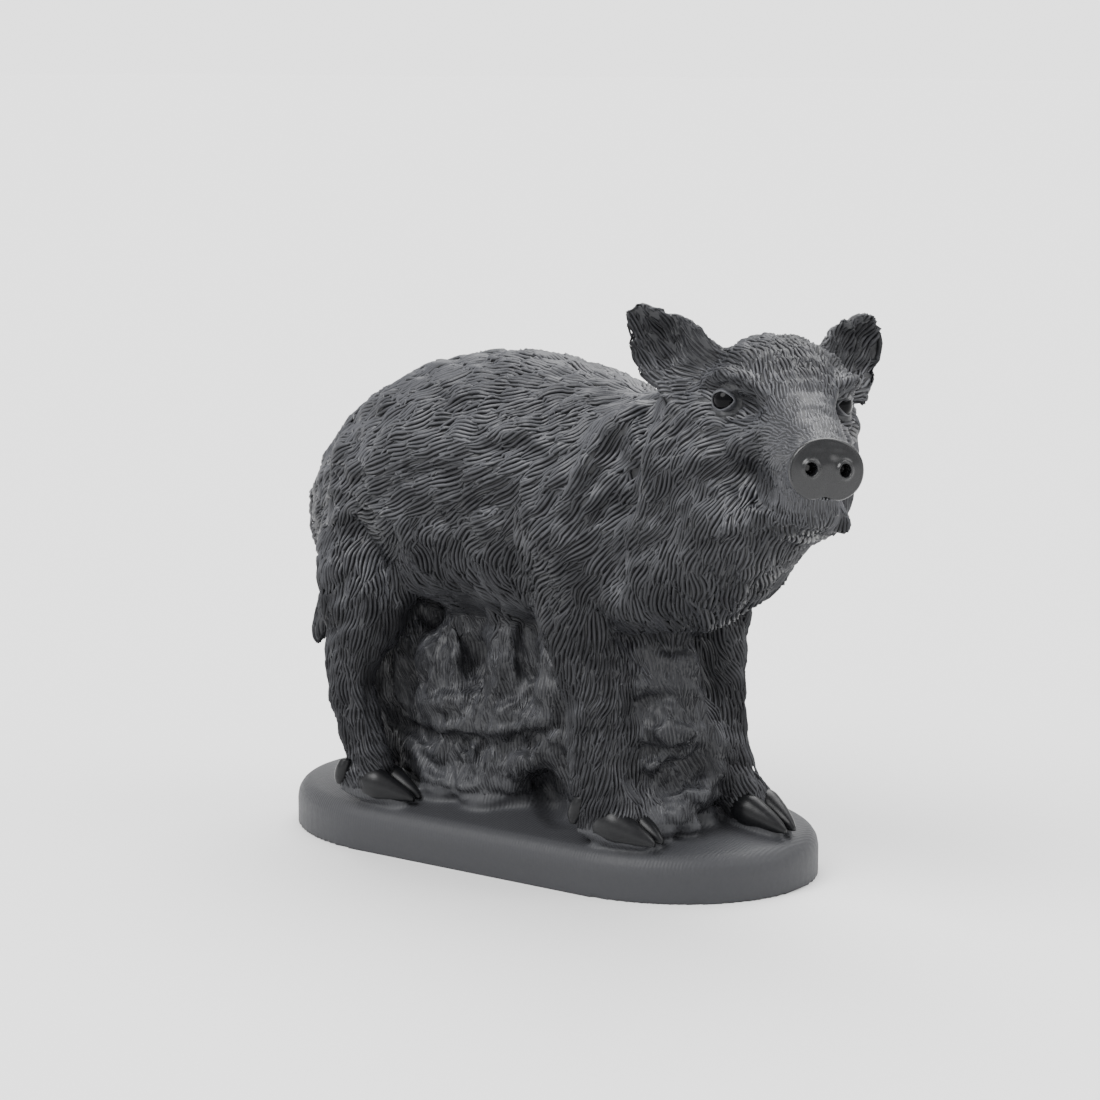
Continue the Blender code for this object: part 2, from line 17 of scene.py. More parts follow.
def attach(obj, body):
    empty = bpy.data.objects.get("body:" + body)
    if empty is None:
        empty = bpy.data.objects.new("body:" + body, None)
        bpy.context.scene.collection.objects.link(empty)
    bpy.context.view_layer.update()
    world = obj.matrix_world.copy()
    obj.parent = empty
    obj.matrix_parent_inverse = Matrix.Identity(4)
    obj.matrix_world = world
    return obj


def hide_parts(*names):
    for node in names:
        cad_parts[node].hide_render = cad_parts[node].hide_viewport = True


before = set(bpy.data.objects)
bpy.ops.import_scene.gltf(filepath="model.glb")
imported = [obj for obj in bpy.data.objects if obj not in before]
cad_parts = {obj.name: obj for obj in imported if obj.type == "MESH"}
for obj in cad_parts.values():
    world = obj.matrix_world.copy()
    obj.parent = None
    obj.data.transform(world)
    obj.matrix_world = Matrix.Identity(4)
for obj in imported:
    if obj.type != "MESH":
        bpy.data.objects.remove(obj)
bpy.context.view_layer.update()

MM = 0.001

# The photograph's camera: a turn from the front view, a rise and a distance, in degrees and
# metres, its focal length in pixels and the pixel where the part's origin is seen.
IMAGE_SIZE = 1100
VIEW_TURN = 36.3
VIEW_RISE = 9.5
VIEW_DISTANCE = 1.8
FOCAL_PIXELS = 3000
ORIGIN_PIXEL = (550, 842)
SENSOR_WIDTH = 36.0

# The plinth, and where the figure starts above it.
PLINTH_TOP = 0.028
GROUND_TOP = 0.036

# The head's frame: forward, left and up from between the eyes.
HEAD_PLACE = Vector((0.199, -0.060, 0.255 + PLINTH_TOP))
HEAD_TURN = -44
HEAD_LIFT = 3
HEAD_TILT = 3.5

# The legs as lines with a radius, which part the coat from the rock: x, y, z, radius in mm
# from the top of the plinth.
LEG_LINES = (
    ((66, -62, 132, 34), (74, -66, 104, 26), (79, -66, 72, 23), (82, -66, 46, 23), (86, -66, 22, 24)),
    ((114, -2, 128, 31), (116, 0, 100, 24), (118, 2, 72, 22), (121, 4, 46, 20), (127, 6, 22, 20)),
    ((-93, -60, 118, 34), (-96, -67, 92, 25), (-98, -69, 76, 22), (-91, -69, 50, 20), (-85, -69, 24, 20)),
    ((-112, 42, 118, 35), (-117, 50, 92, 26), (-119, 52, 76, 23), (-113, 53, 50, 20), (-106, 53, 24, 20)),
)
TAIL_LINE = (
    (-158, -4, 186, 12), (-166, -3, 160, 11), (-163, -6, 134, 11), (-161, -11, 110, 12),
    (-164, -16, 84, 14),
)
BELLY_HEIGHT = 0.113
# The hollow before the near hind leg, where rock shows above the belly's height: its middle and
# radii in mm from the top of the plinth.
FLANK_PIT = (-72, -50, 98)
FLANK_PIT_RADII = (24, 22, 26)

# Where the casting is parted: the base's height, the body's cut from side to side, the head's cut
# in its own frame, and the height above which the head is.
BASE_HEIGHT = 0.06
BODY_CUT = -0.01
HEAD_CUT = -0.046
HEAD_LOW = 0.2
# No rock shows above the first height, and what is below the second is the flat underside.
ROCK_TOP = 0.17
SOLE_HEIGHT = 0.0003

# The middle of the body as seen from above: x and y, in mm.
SPINE = (
    (-200, -8), (-100, -8), (-60, -11), (0, -14), (40, -19), (78, -29), (120, -43), (170, -55),
    (300, -90),
)

SKIN_GRAIN = 0.0014
# How far the casting is drawn in under the coat, as a share of the tufts' lift.
SUNK = 0.55

# The resin's tones. On the coat, the dark one in its grooves is painted shade and the pale one on its
# crests is painted light; elsewhere they are the resin's own tones.
RESIN_DARK = (0.0035, 0.0036, 0.0042, 1.0)
RESIN_PALE = (0.078, 0.0795, 0.088, 1.0)
RESIN_PLAIN = (0.028, 0.0287, 0.032, 1.0)
RESIN_SMOOTH = (0.009, 0.0093, 0.0105, 1.0)
RESIN_BLACK = (0.002, 0.002, 0.0025, 1.0)

# Lumps of clay laid on the solid: x, y, z and the three radii in mm. Those of the head are in its
# frame, and one off the middle has a twin. Those of the rock are from the top of the plinth.
HEAD_CLAY = (
    (-14, 16, 20, 18, 16, 12), (-10, 27, 12, 13, 9, 5), (8, 20, -20, 26, 14, 14), (56, 0, -41, 18, 13, 7),
)
# The slope from the forehead down to the snout: x, y, z and radii.
FOREHEAD_SLOPE = (
    (-26, 0, 24, 26, 26, 13), (-4, 0, 22, 24, 24, 13), (16, 0, 10, 22, 21, 13), (36, 0, -3, 20, 17, 12),
    (56, 0, -12, 18, 15, 11),
)
ROCK_CLAY = (
    (-2, -47, 92, 5, 6, 22), (8, -49, 88, 5, 5, 24), (-36, -47, 88, 6, 5, 20),
    (-58, -42, 80, 5, 6, 22), (-42, -48, 30, 7, 7, 12), (-30, -50, 28, 6, 6, 13),
    (-16, -52, 30, 6, 6, 12), (-2, -51, 33, 7, 6, 11), (-31, -45, 47, 6, 5, 5),
    (1, -45, 48, 5, 5, 6), (-48, -53, 14, 7, 5, 6), (-34, -55, 13, 9, 6, 6),
    (-18, -57, 12, 8, 6, 7), (106, -50, 46, 12, 6, 6), (118, -40, 52, 10, 7, 6),
    (112, -50, 8, 12, 6, 5), (120, -38, 10, 14, 7, 6), (116, -14, 8, 11, 10, 9),
)

# Strokes of a rounded tool over the skin: pixels of the photograph, the tool's reach and the
# depth it cuts in mm, below 0 where clay is laid on. Those of the body and head have twins.
HEAD_TOOLING = (
    (((736, 400), (746, 404), (757, 409)), 8, 4.2),
    (((710, 392), (722, 386), (736, 388), (750, 397)), 4, 1.8),
    (((711, 412), (722, 418), (738, 417), (750, 413)), 3.5, 1.3),
    (((694, 390), (706, 381), (722, 375), (740, 377), (757, 386), (772, 400)), 6.5, -2.4),
    (((716, 424), (732, 426), (748, 420)), 4.5, -1),
    (((738, 425), (748, 432), (742, 440)), 6, 1.5),
    (((756, 482), (755, 492), (760, 504), (774, 512), (792, 517), (810, 519)), 3.6, 1.5),
    (((746, 478), (744, 490), (748, 502)), 4.5, -0.8),
    (((770, 521), (795, 525), (820, 526)), 4, -0.8),
    (((705, 547), (730, 538), (760, 538), (796, 528)), 5, 1.8),
    (((700, 538), (730, 528), (762, 527)), 6, -1.6),
    (((700, 420), (690, 432), (686, 448)), 6, 1.2),
    (((784, 446), (776, 456), (772, 470)), 6, -1),
)
EAR_TOOLING = (
    (((668, 374), (656, 352), (642, 328), (635, 310)), 3.4, 1.3),
    (((662, 380), (646, 364), (632, 346)), 3.2, 1.2),
    (((668, 362), (662, 340), (652, 320)), 3.6, -0.9),
    (((684, 352), (678, 332), (666, 318)), 3.6, 1.2),
    (((672, 366), (666, 344), (657, 322)), 7.5, 4),
    (((690, 352), (684, 336), (672, 324)), 4, -1.4),
    (((852, 372), (860, 348), (868, 324)), 3, 1.2),
    (((846, 362), (847, 344), (850, 330)), 3, 1),
    (((858, 376), (868, 360), (876, 346)), 3, 1),
    (((840, 352), (838, 342), (836, 334)), 2.6, 0.9),
)
# Notches in the edges of the ears: a pixel just inside the edge, the way outwards in pixels,
# and how far the edge is drawn in and over what reach, in mm.
EAR_NOTCHES = (
    ((668, 318), (1, -9), 2.6, 4.5),
    ((637, 336), (-9, -1), 4.2, 5),
    ((850, 333), (-2, -9), 4.2, 5),
    ((652, 312), (2, -9), 1.4, 4),
    ((690, 332), (5, -7), 1.4, 4),
    ((872, 330), (8, 0), 1.4, 3.5),
)
BODY_TOOLING = (
    (((656, 398), (645, 425), (634, 455), (630, 480), (634, 505), (620, 528)), 11, 2.8),
    (((668, 408), (658, 435), (648, 465), (645, 492), (640, 520)), 12, -1.8),
    (((610, 448), (622, 470), (618, 500), (610, 518)), 11, 3),
    (((648, 405), (610, 428), (590, 455), (574, 490), (566, 505)), 9, -3),
    (((606, 486), (595, 500), (586, 514)), 7, -2.5),
    (((500, 438), (512, 432), (530, 434), (545, 446)), 8, -2.2),
    (((498, 452), (520, 450), (545, 456)), 7, 1.6),
    (((505, 520), (512, 540), (516, 570), (524, 600)), 6, 2),
    (((530, 470), (526, 500), (530, 540)), 8, -1.6),
    (((354, 522), (372, 540), (384, 575), (392, 600)), 6, 2.5),
    (((400, 520), (412, 552), (440, 580), (470, 596)), 7, -2),
    (((386, 520), (400, 555), (424, 584), (450, 602)), 5, 1.5),
    (((340, 440), (352, 470), (356, 500), (350, 520)), 8, -1.6),
    (((405, 430), (400, 455), (410, 480)), 7, 1.3),
    (((450, 470), (470, 500), (474, 530)), 8, -1.3),
    (((430, 500), (445, 530), (470, 560)), 7, 1.2),
    (((600, 585), (604, 615), (622, 640), (640, 642)), 6, 2.2),
    (((612, 590), (618, 612), (634, 630)), 8, -2),
    (((650, 560), (680, 585), (700, 610)), 8, -1.8),
    (((640, 570), (668, 598), (690, 622)), 6, 1.8),
    (((700, 560), (715, 590), (716, 620)), 6, 2),
    (((740, 560), (742, 590), (724, 622)), 6, -2),
    (((555, 590), (552, 625), (560, 655)), 6, 1.5),
    (((620, 650), (622, 690), (620, 740)), 6, -1.5),
    (((590, 690), (578, 740), (575, 790)), 6, -1.2),
)
ROCK_TOOLING = (
    (((408, 656), (406, 676), (412, 698)), 8, 2.2),
    (((396, 660), (396, 690), (410, 712)), 4.5, -2),
    (((430, 640), (432, 665), (430, 690)), 5, -2.5),
    (((446, 640), (450, 665), (456, 690)), 4, 1.8),
    (((474, 636), (478, 660), (474, 688)), 10, 2.2),
    (((494, 640), (498, 670), (500, 694)), 5, -2.6),
    (((512, 640), (510, 665), (506, 685)), 3.5, 1.2),
    (((534, 646), (532, 668), (528, 690)), 8, 1.6),
    (((540, 700), (548, 712), (552, 724)), 5, -2),
    (((384, 692), (400, 722), (426, 738)), 6, 2.6),
    (((440, 736), (462, 734), (480, 744)), 5, 1.2),
    (((496, 748), (514, 742), (526, 732)), 4.5, 1.6),
    (((536, 736), (558, 726)), 4.5, 2.4),
    (((424, 716), (446, 722), (470, 712)), 4, 1.2),
    (((486, 700), (500, 712), (524, 716)), 5, -1.8),
    (((420, 700), (440, 706), (452, 716)), 5, -1.6),
    (((440, 724), (470, 728), (500, 732), (530, 724)), 6, -1.5),
    (((455, 756), (462, 776)), 4, 2.2),
    (((480, 750), (482, 776)), 4, 2.2),
    (((505, 754), (506, 778)), 4, 2.2),
    (((528, 742), (532, 762)), 4, 2.4),
    (((440, 790), (470, 796), (500, 794)), 4, 2),
    (((540, 770), (548, 796), (562, 822)), 13, 5),
    (((638, 700), (656, 702), (670, 699)), 4.5, 2.4),
    (((646, 712), (652, 728), (650, 742)), 5, 1.4),
    (((640, 670), (644, 690)), 5, -1.8),
    (((668, 704), (672, 722), (690, 730), (706, 726)), 6, -2.4),
    (((634, 758), (652, 754), (684, 752)), 11, 4.5),
    (((636, 786), (662, 788), (704, 772)), 10, 4.5),
    (((646, 770), (664, 774), (684, 764)), 6, -1.4),
    (((660, 806), (676, 800), (690, 796)), 5, 2),
    (((370, 680), (376, 720), (396, 764)), 8, 2),
)

# How the hair lies: the pixels of the photograph at a hair's root and at its tip.
BODY_LIES = (
    (600, 375, 570, 366), (540, 365, 505, 358), (480, 360, 445, 372), (430, 380, 395, 400),
    (380, 405, 350, 430), (350, 440, 328, 470), (398, 490, 356, 507), (360, 450, 335, 480),
    (330, 500, 315, 530), (395, 530, 355, 515), (350, 520, 335, 560), (345, 570, 335, 610),
    (350, 600, 340, 640), (395, 520, 430, 580), (500, 440, 460, 445), (470, 500, 430, 510),
    (480, 540, 445, 555), (455, 560, 490, 580), (450, 600, 475, 608), (500, 610, 530, 625),
    (560, 520, 530, 545), (580, 570, 550, 590), (600, 590, 640, 635), (620, 590, 655, 625),
    (560, 400, 520, 415), (540, 450, 500, 470), (520, 480, 500, 500), (430, 430, 395, 445),
    (420, 470, 385, 480), (560, 600, 545, 630), (520, 520, 500, 545), (610, 450, 585, 490),
    (640, 410, 600, 440), (630, 470, 600, 500), (625, 500, 600, 515), (590, 430, 550, 450),
    (610, 400, 570, 410), (330, 560, 330, 590),
)
LEG_LIES = (
    (610, 660, 585, 700), (600, 720, 580, 760), (600, 770, 590, 800), (622, 660, 622, 720),
    (350, 640, 345, 680), (355, 700, 365, 745), (370, 760, 380, 775), (700, 650, 716, 680),
    (730, 700, 735, 740), (740, 760, 755, 790), (560, 660, 565, 700), (335, 660, 335, 690),
)
HEAD_LIES = (
    (790, 450, 760, 462), (750, 440, 710, 470), (720, 440, 690, 480), (700, 470, 680, 510),
    (690, 430, 665, 470), (670, 450, 655, 490), (660, 500, 640, 525), (700, 510, 690, 540),
    (740, 500, 735, 530), (780, 505, 785, 525), (820, 510, 815, 525), (740, 425, 715, 440),
    (700, 400, 670, 410), (680, 410, 660, 440), (790, 400, 785, 360), (760, 390, 755, 350),
    (760, 375, 700, 360), (760, 350, 680, 360), (820, 390, 810, 350), (850, 395, 840, 375),
    (820, 430, 800, 412), (845, 430, 850, 410), (700, 350, 675, 315), (835, 350, 840, 330),
)
EAR_LIES = ((665, 365, 640, 315), (845, 365, 870, 320), (860, 380, 878, 345))
THROAT_LIES = (
    (830, 535, 790, 560), (800, 530, 760, 560), (760, 590, 730, 625), (720, 570, 715, 610),
    (680, 560, 705, 625), (640, 560, 610, 600),
)


def new_object(name, data):
    """Links an object with this data into the scene."""
    obj = bpy.data.objects.new(name, data)
    bpy.context.scene.collection.objects.link(obj)
    return obj


def facing(turn, rise):
    """The way outwards at a turn from the front view and a rise, in degrees."""
    turn, rise = np.radians(turn), np.radians(rise)
    return Vector((np.sin(turn) * np.cos(rise), -np.cos(turn) * np.cos(rise), np.sin(rise)))


def camera_axes():
    """The camera's own directions: back towards it, right and up."""
    turn = np.radians(VIEW_TURN)
    back = facing(VIEW_TURN, VIEW_RISE)
    right = Vector((np.cos(turn), np.sin(turn), 0.0))
    return back, right, back.cross(right)


BACK, RIGHT, UP = camera_axes()
OFF_CENTRE = [VIEW_DISTANCE / FOCAL_PIXELS * (p - IMAGE_SIZE / 2) for p in ORIGIN_PIXEL]
CAMERA_PLACE = BACK * VIEW_DISTANCE - RIGHT * OFF_CENTRE[0] + UP * OFF_CENTRE[1]


def add_camera():
    """The camera at the photograph's viewing angle."""
    data = bpy.data.cameras.new("camera")
    data.sensor_width = SENSOR_WIDTH
    data.lens = FOCAL_PIXELS / IMAGE_SIZE * SENSOR_WIDTH
    camera = new_object("camera", data)
    camera.location = CAMERA_PLACE
    camera.rotation_euler = (-BACK).to_track_quat("-Z", "Y").to_euler()
    bpy.context.scene.camera = camera


def head_matrix():
    """Carries a place in the head's frame, in metres, to the world."""
    turned = Euler(np.radians((-HEAD_TILT, -HEAD_LIFT, HEAD_TURN)), "XYZ").to_matrix().to_4x4()
    return Matrix.Translation(HEAD_PLACE) @ turned


HEAD = head_matrix()
HEAD_TURNED = np.array(HEAD.to_3x3())
HEAD_MIDDLE = np.array(HEAD_PLACE)


def to_head(points):
    """World places in the head's frame."""
    return (points - HEAD_MIDDLE) @ HEAD_TURNED


def from_head(points):
    """Places in the head's frame, in the world."""
    return points @ HEAD_TURNED.T + HEAD_MIDDLE


def unit(vectors):
    """The vectors at length one."""
    lengths = np.sqrt((vectors**2).sum(axis=-1, keepdims=True))
    return vectors / np.maximum(lengths, 1e-12)


def ramp(values, start, span):
    """Rises from 0 at the start to 1 one span further on, downwards where the span is negative."""
    return np.clip((values - start) / span, 0, 1)


def smooth_object(name, work):
    """A smooth object from a bmesh, which is used up."""
    mesh = bpy.data.meshes.new(name)
    work.to_mesh(mesh)
    work.free()
    mesh.shade_smooth()
    return new_object(name, mesh)


def ring_faces(rows, columns):
    """The quads between closed rings of vertices, ring after ring."""
    starts = np.arange(rows - 1)[:, None] * columns
    here = (starts + np.arange(columns)[None]).ravel()
    after = (starts + (np.arange(columns)[None] + 1) % columns).ravel()
    return np.stack([here, after, after + columns, here + columns], axis=1)


def applied(obj):
    """The object with its modifiers turned into plain mesh."""
    graph = bpy.context.evaluated_depsgraph_get()
    graph.update()
    mesh = bpy.data.meshes.new_from_object(obj.evaluated_get(graph))
    obj.modifiers.clear()
    obj.data = mesh
    return obj


def vertex_arrays(mesh):
    """The places and normals of a mesh's vertices."""
    count = len(mesh.vertices)
    places = np.empty(count * 3, np.float32)
    normals = np.empty(count * 3, np.float32)
    mesh.vertices.foreach_get("co", places)
    mesh.vertices.foreach_get("normal", normals)
    return places.reshape(-1, 3).astype(float), normals.reshape(-1, 3).astype(float)


def edge_links(mesh):
    """The two vertices of each edge."""
    links = np.empty(len(mesh.edges) * 2, np.int64)
    mesh.edges.foreach_get("vertices", links)
    return links.reshape(-1, 2)


def set_places(mesh, places):
    """Writes vertex places back."""
    mesh.vertices.foreach_set("co", places.astype(np.float32).ravel())
    mesh.update()


# The skin.


def add_lump(work, lump, matrix):
    """Adds one ellipsoid of clay: x, y, z and its radii in mm, in its frame."""
    size = Matrix.Diagonal((*[r * MM for r in lump[3:]], 1.0))
    spot = Matrix.Translation(Vector(lump[:3]) * MM)
    bmesh.ops.create_icosphere(work, subdivisions=3, radius=1.0, matrix=matrix @ spot @ size)


def welded_solid():
    """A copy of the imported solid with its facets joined, and small lumps of clay laid on it."""
    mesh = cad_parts["piglet_on_plinth"].data.copy()
    work = bmesh.new()
    work.from_mesh(mesh)
    bmesh.ops.remove_doubles(work, verts=work.verts, dist=1e-5)
    for x, y, *rest in HEAD_CLAY:
        for side in (-1, 1) if y else (1,):
            add_lump(work, (x, y * side, *rest), HEAD)
    for lump in smooth_track(FOREHEAD_SLOPE):
        add_lump(work, lump, HEAD)
    on_plinth = Matrix.Translation((0, 0, PLINTH_TOP))
    for lump in ROCK_CLAY:
        add_lump(work, lump, on_plinth)
    work.to_mesh(mesh)
    work.free()
    return mesh


def build_skin():
    """The whole casting remade on a fine grid, with its facets smoothed away above the plinth."""
    skin = new_object("casting", welded_solid())
    skin.data.materials.clear()
    remesh = skin.modifiers.new("grain", "REMESH")
    remesh.mode = "VOXEL"
    remesh.voxel_size = SKIN_GRAIN
    applied(skin)
    places, _ = vertex_arrays(skin.data)
    above = ramp(places[:, 2] - PLINTH_TOP, -0.002, 0.004)
    set_places(skin.data, smoothed(places, edge_links(skin.data), 14, 0.55 * above))
    refine_face(skin.data)
    return skin


def refine_face(mesh):
    """A grain of half the size round the eyes, the mouth and the nose."""
    work = bmesh.new()
    work.from_mesh(mesh)
    inside = on_face(vertex_arrays(mesh)[0])
    edges = [edge for edge in work.edges if all(inside[vert.index] for vert in edge.verts)]
    bmesh.ops.subdivide_edges(work, edges=edges, cuts=1, use_grid_fill=True)
    work.to_mesh(mesh)
    work.free()
    places, _ = vertex_arrays(mesh)
    links = edge_links(mesh)
    places = smoothed(places, links, 6, 0.5 * on_face(places))
    x, y, z = to_head(places).T / MM
    bridge = ramp(np.abs(y), 18, -6) * ramp(z, -30, 8)
    bridge *= ramp(x, 4, 10) * ramp(x, 86, -4)
    places = smoothed(places, links, 45, 0.6 * bridge)
    set_places(mesh, smooth_ridge(places))


def smooth_ridge(places):
    """The line of the forehead and nose evened out along its length."""
    head = to_head(places) / MM
    x, y, z = head.T
    steps = np.arange(-24, 90, 2.0)
    tops = [z[(np.abs(x - step) < 2) & (np.abs(y) < 4)] for step in steps]
    rises = np.array([np.percentile(top, 90) for top in tops])
    weights = np.exp(-((np.arange(-8, 9) / 3.2) ** 2) / 2)
    padded = np.pad(rises, 8, mode="reflect", reflect_type="odd")
    eased = np.convolve(padded, weights / weights.sum(), mode="valid")
    share = ramp(np.abs(y), 26, -12) * ramp(z, -24, 14)
    share *= ramp(x, -22, 10) * ramp(x, 88, -6)
    z += np.interp(x, steps, eased - rises) * share
    return from_head(head * MM)


def twin_gap(head, place):
    """How far places in the head's frame are from a place and its twin on the other side."""
    x, y, z = head.T
    return np.sqrt((x - place[0]) ** 2 + (np.abs(y) - place[1]) ** 2 + (z - place[2]) ** 2)


def on_face(points):
    """The parts of the head where the detail is finest."""
    head = to_head(points) / MM
    x, y, z = head.T
    mouth = (x > 20) & (x < 84) & (z > -66)
    return ((twin_gap(head, (4, 30, 0)) < 26) | mouth) & (np.abs(y) < 48) & (np.abs(z) < 70)


def smoothed(places, edges, rounds, factor):
    """Vertex places eased towards the mean of their neighbours, each by its own factor."""
    count = len(places)
    degree = np.bincount(edges.ravel(), minlength=count).astype(float)
    factor = np.broadcast_to(factor, (count,))[:, None]
    for _ in range(rounds):
        total = np.stack([
            np.bincount(edges[:, 0], places[edges[:, 1], axis], count)
            + np.bincount(edges[:, 1], places[edges[:, 0], axis], count)
            for axis in range(3)
        ], axis=1)
        places = places + factor * (total / degree[:, None] - places)
    return places


def tooled(places, normals, path, reach, depth):
    """Vertex places after a rounded tool is drawn along a path on the skin."""
    track = smooth_track(path)
    near = ((places > track.min(axis=0) - reach) & (places < track.max(axis=0) + reach)).all(axis=1)
    spots = np.flatnonzero(near)
    gaps = ((places[spots, None, :] - track[None]) ** 2).sum(axis=2)
    along = gaps.argmin(axis=1) / (len(track) - 1)
    share = np.clip(1 - np.sqrt(gaps.min(axis=1)) / reach, 0, 1)
    ease = np.clip(0.45 + 2.2 * np.minimum(along, 1 - along), 0, 1)
    places[spots] -= normals[spots] * (depth * ease * share * share * (3 - 2 * share))[:, None]
    return places


def smooth_track(path):
    """Points on a smooth curve through the path's points."""
    knots = np.asarray(path, float)
    padded = np.vstack([2 * knots[0] - knots[1], knots, 2 * knots[-1] - knots[-2]])
    track = []
    for before, start, end, after in zip(padded, padded[1:], padded[2:], padded[3:]):
        for t in np.linspace(0, 1, 8, endpoint=False):
            track.append(
                start
                + 0.5 * t * (end - before)
                + t * t * (before - 2.5 * start + 2 * end - 0.5 * after)
                + t * t * t * (1.5 * (start - end) + 0.5 * (after - before))
            )
    track.append(knots[-1])
    return np.array(track)


def seen_path(tree, pixels):
    """The places on the skin that a path of pixels falls on."""
    hits = [seen_on(tree, pixel)[0] for pixel in pixels]
    return np.array([hit for hit in hits if hit is not None])


def over_head(points):
    """Places on the other side of the head."""
    return from_head(to_head(points) * (1, -1, 1))


def tool_skin(skin, tree):
    """Cuts the folds of the body, the face and the rock into the skin."""
    places, normals = vertex_arrays(skin.data)
    for strokes, twin in (
        (ROCK_TOOLING, None), (BODY_TOOLING, mirrored_over_spine), (HEAD_TOOLING, over_head),
        (EAR_TOOLING, None),
    ):
        for pixels, reach, depth in strokes:
            path = seen_path(tree, pixels)
            if len(path) < 2:
                continue
            places = tooled(places, normals, path, reach * MM, depth * MM)
            if twin:
                places = tooled(places, normals, twin(path), reach * MM, depth * MM)
    set_places(skin.data, roughened(notched(places, tree), normals))


def notched(places, tree):
    """Vertex places with the edges of the ears drawn in here and there."""
    for pixel, outward, drawn, reach in EAR_NOTCHES:
        inside, _ = seen_on(tree, pixel)
        if inside is None:
            continue
        scale = (inside - CAMERA_PLACE).dot(-BACK) / FOCAL_PIXELS
        way = np.array(RIGHT * outward[0] - UP * outward[1])
        gap = np.sqrt(((places - np.array(inside) - way * scale) ** 2).sum(axis=1)) / (reach * MM)
        places = places - unit(way) * (drawn * MM * np.clip(1 - gap, 0, 1) ** 1.2)[:, None]
    return places


def roughened(places, normals):
    """Vertex places with the rock chipped and planed, and low clumps on the body and head."""
    rock = 1 - coat_share(places)
    rock *= ramp(places[:, 2], GROUND_TOP, 0.006) * (places[:, 2] < ROCK_TOP)
    rough = wave_field(places, 0.012, 21) * 0.6 + wave_field(places * (1, 1, 0.5), 0.005, 22) * 0.3
    chipped = np.abs(wave_field(places * (1, 1, 0.7), 0.02, 23))
    planed = np.abs(wave_field(places, 0.03, 24))
    cut = rock * (rough * 0.9 - chipped * 1.6 + planed * 1.6 - 0.4) * MM
    places = places + normals * cut[:, None]
    clumps = wave_field(places, 0.022, 31) * 0.5 + wave_field(places, 0.012, 32) * 0.35
    on_body = ramp(to_head(places)[:, 0], -0.03, -0.02)
    furred = (1 - rock) * (places[:, 2] > GROUND_TOP)
    return places + normals * (furred * clumps * (0.95 + 0.45 * on_body) * MM)[:, None]


def sink_under_coat(skin):
    """Draws the casting in under the coat and behind the snout, so that only those show there."""
    places, normals = vertex_arrays(skin.data)
    share = np.maximum(coat_share(places), on_rock(places))
    places -= normals * (SUNK * tuft_sizes(places)[3] * share)[:, None]
    head = to_head(places) / MM
    behind = np.clip(5 * (0.95 - disc_gap(head)), 0, 1) * (head[:, 0] > SNOUT_ROOT)
    head[:, 0] -= behind * np.clip(head[:, 0] - SNOUT_ROOT, 0, None)
    set_places(skin.data, np.where(behind[:, None] > 0, from_head(head * MM), places))


def parted(skin):
    """The casting cut into base, rear, front and head, shaded as one across the cuts."""
    _, normals = vertex_arrays(skin.data)
    work = bmesh.new()
    work.from_mesh(skin.data)
    mark = work.verts.layers.int.new("mark")
    for vert in work.verts:
        vert[mark] = vert.index
    sole = {face for face in work.faces if face.calc_center_median().z < SOLE_HEIGHT}
    edges = [e for e in work.edges if e.is_manifold and not sole.isdisjoint(e.link_faces)]
    bmesh.ops.dissolve_limit(work, angle_limit=0.05, verts=[], edges=edges)
    work.faces.ensure_lookup_table()
    centres = np.array([face.calc_center_median() for face in work.faces])
    head = (to_head(centres)[:, 0] > HEAD_CUT) & (centres[:, 2] > HEAD_LOW)
    base = centres[:, 2] < BASE_HEIGHT
    rear = centres[:, 0] < BODY_CUT
    regions = (
        ("casting_rear", ~head & ~base & rear), ("casting_front", ~head & ~base & ~rear),
        ("casting_base", base), ("casting_head", head),
    )
    pieces = []
    for name, chosen in regions:
        part = work.copy()
        part.faces.ensure_lookup_table()
        away = [part.faces[i] for i in np.flatnonzero(~chosen)]
        bmesh.ops.delete(part, geom=away, context="FACES")
        marks = np.array([vert[part.verts.layers.int["mark"]] for vert in part.verts])
        mesh = bpy.data.meshes.new(name)
        part.to_mesh(mesh)
        part.free()
        mesh.attributes.remove(mesh.attributes["mark"])
        mesh.shade_smooth()
        mesh.normals_split_custom_set_from_vertices(normals[marks].tolist())
        pieces.append(new_object(name, mesh))
    work.free()
    bpy.data.objects.remove(skin)
    return pieces


def tree_of(mesh):
    """A search tree over a mesh's faces."""
    places, _ = vertex_arrays(mesh)
    polygons = [tuple(p.vertices) for p in mesh.polygons]
    return BVHTree.FromPolygons(places.tolist(), polygons)


def seen_on(tree, pixel):
    """Where the ray through a pixel meets the skin, and the normal there."""
    sideways = RIGHT * ((pixel[0] - IMAGE_SIZE / 2) / FOCAL_PIXELS)
    upwards = UP * ((IMAGE_SIZE / 2 - pixel[1]) / FOCAL_PIXELS)
    place, normal, _, _ = tree.ray_cast(CAMERA_PLACE, (sideways + upwards - BACK).normalized())
    return place, normal


# The lie of the hair.

# How far a guide is felt, and the longest one that is taken to lie on one form, in metres.
GUIDE_REACH = 0.016
LONGEST_LIE = 0.09
# The way the hair tends to lie far from any guide, on the body and low on the legs.
BODY_TREND = np.array([-0.75, 0.0, -0.5])
LEG_TREND = np.array([0.1, 0.0, -1.0])
# Where the coat ends at the feet and the chin, in mm above the plinth.
HOOF_HEIGHT = 9
CHIN_HEIGHT = 180
# Where the casting ends behind the snout disc, and where the coat ends behind the disc and beside
# it, in mm ahead of the eyes. The coat counts as behind within this share of the disc's radius.
SNOUT_ROOT = 76
SNOUT_WALL = 83
SNOUT_RIM = 89
SNOUT_WALL_SHARE = 0.88
# The eye socket, which is bare: its place in the head's frame and its reach, in mm.
SOCKET_PLACE = (0, 32, 1)
SOCKET_REACH = 9


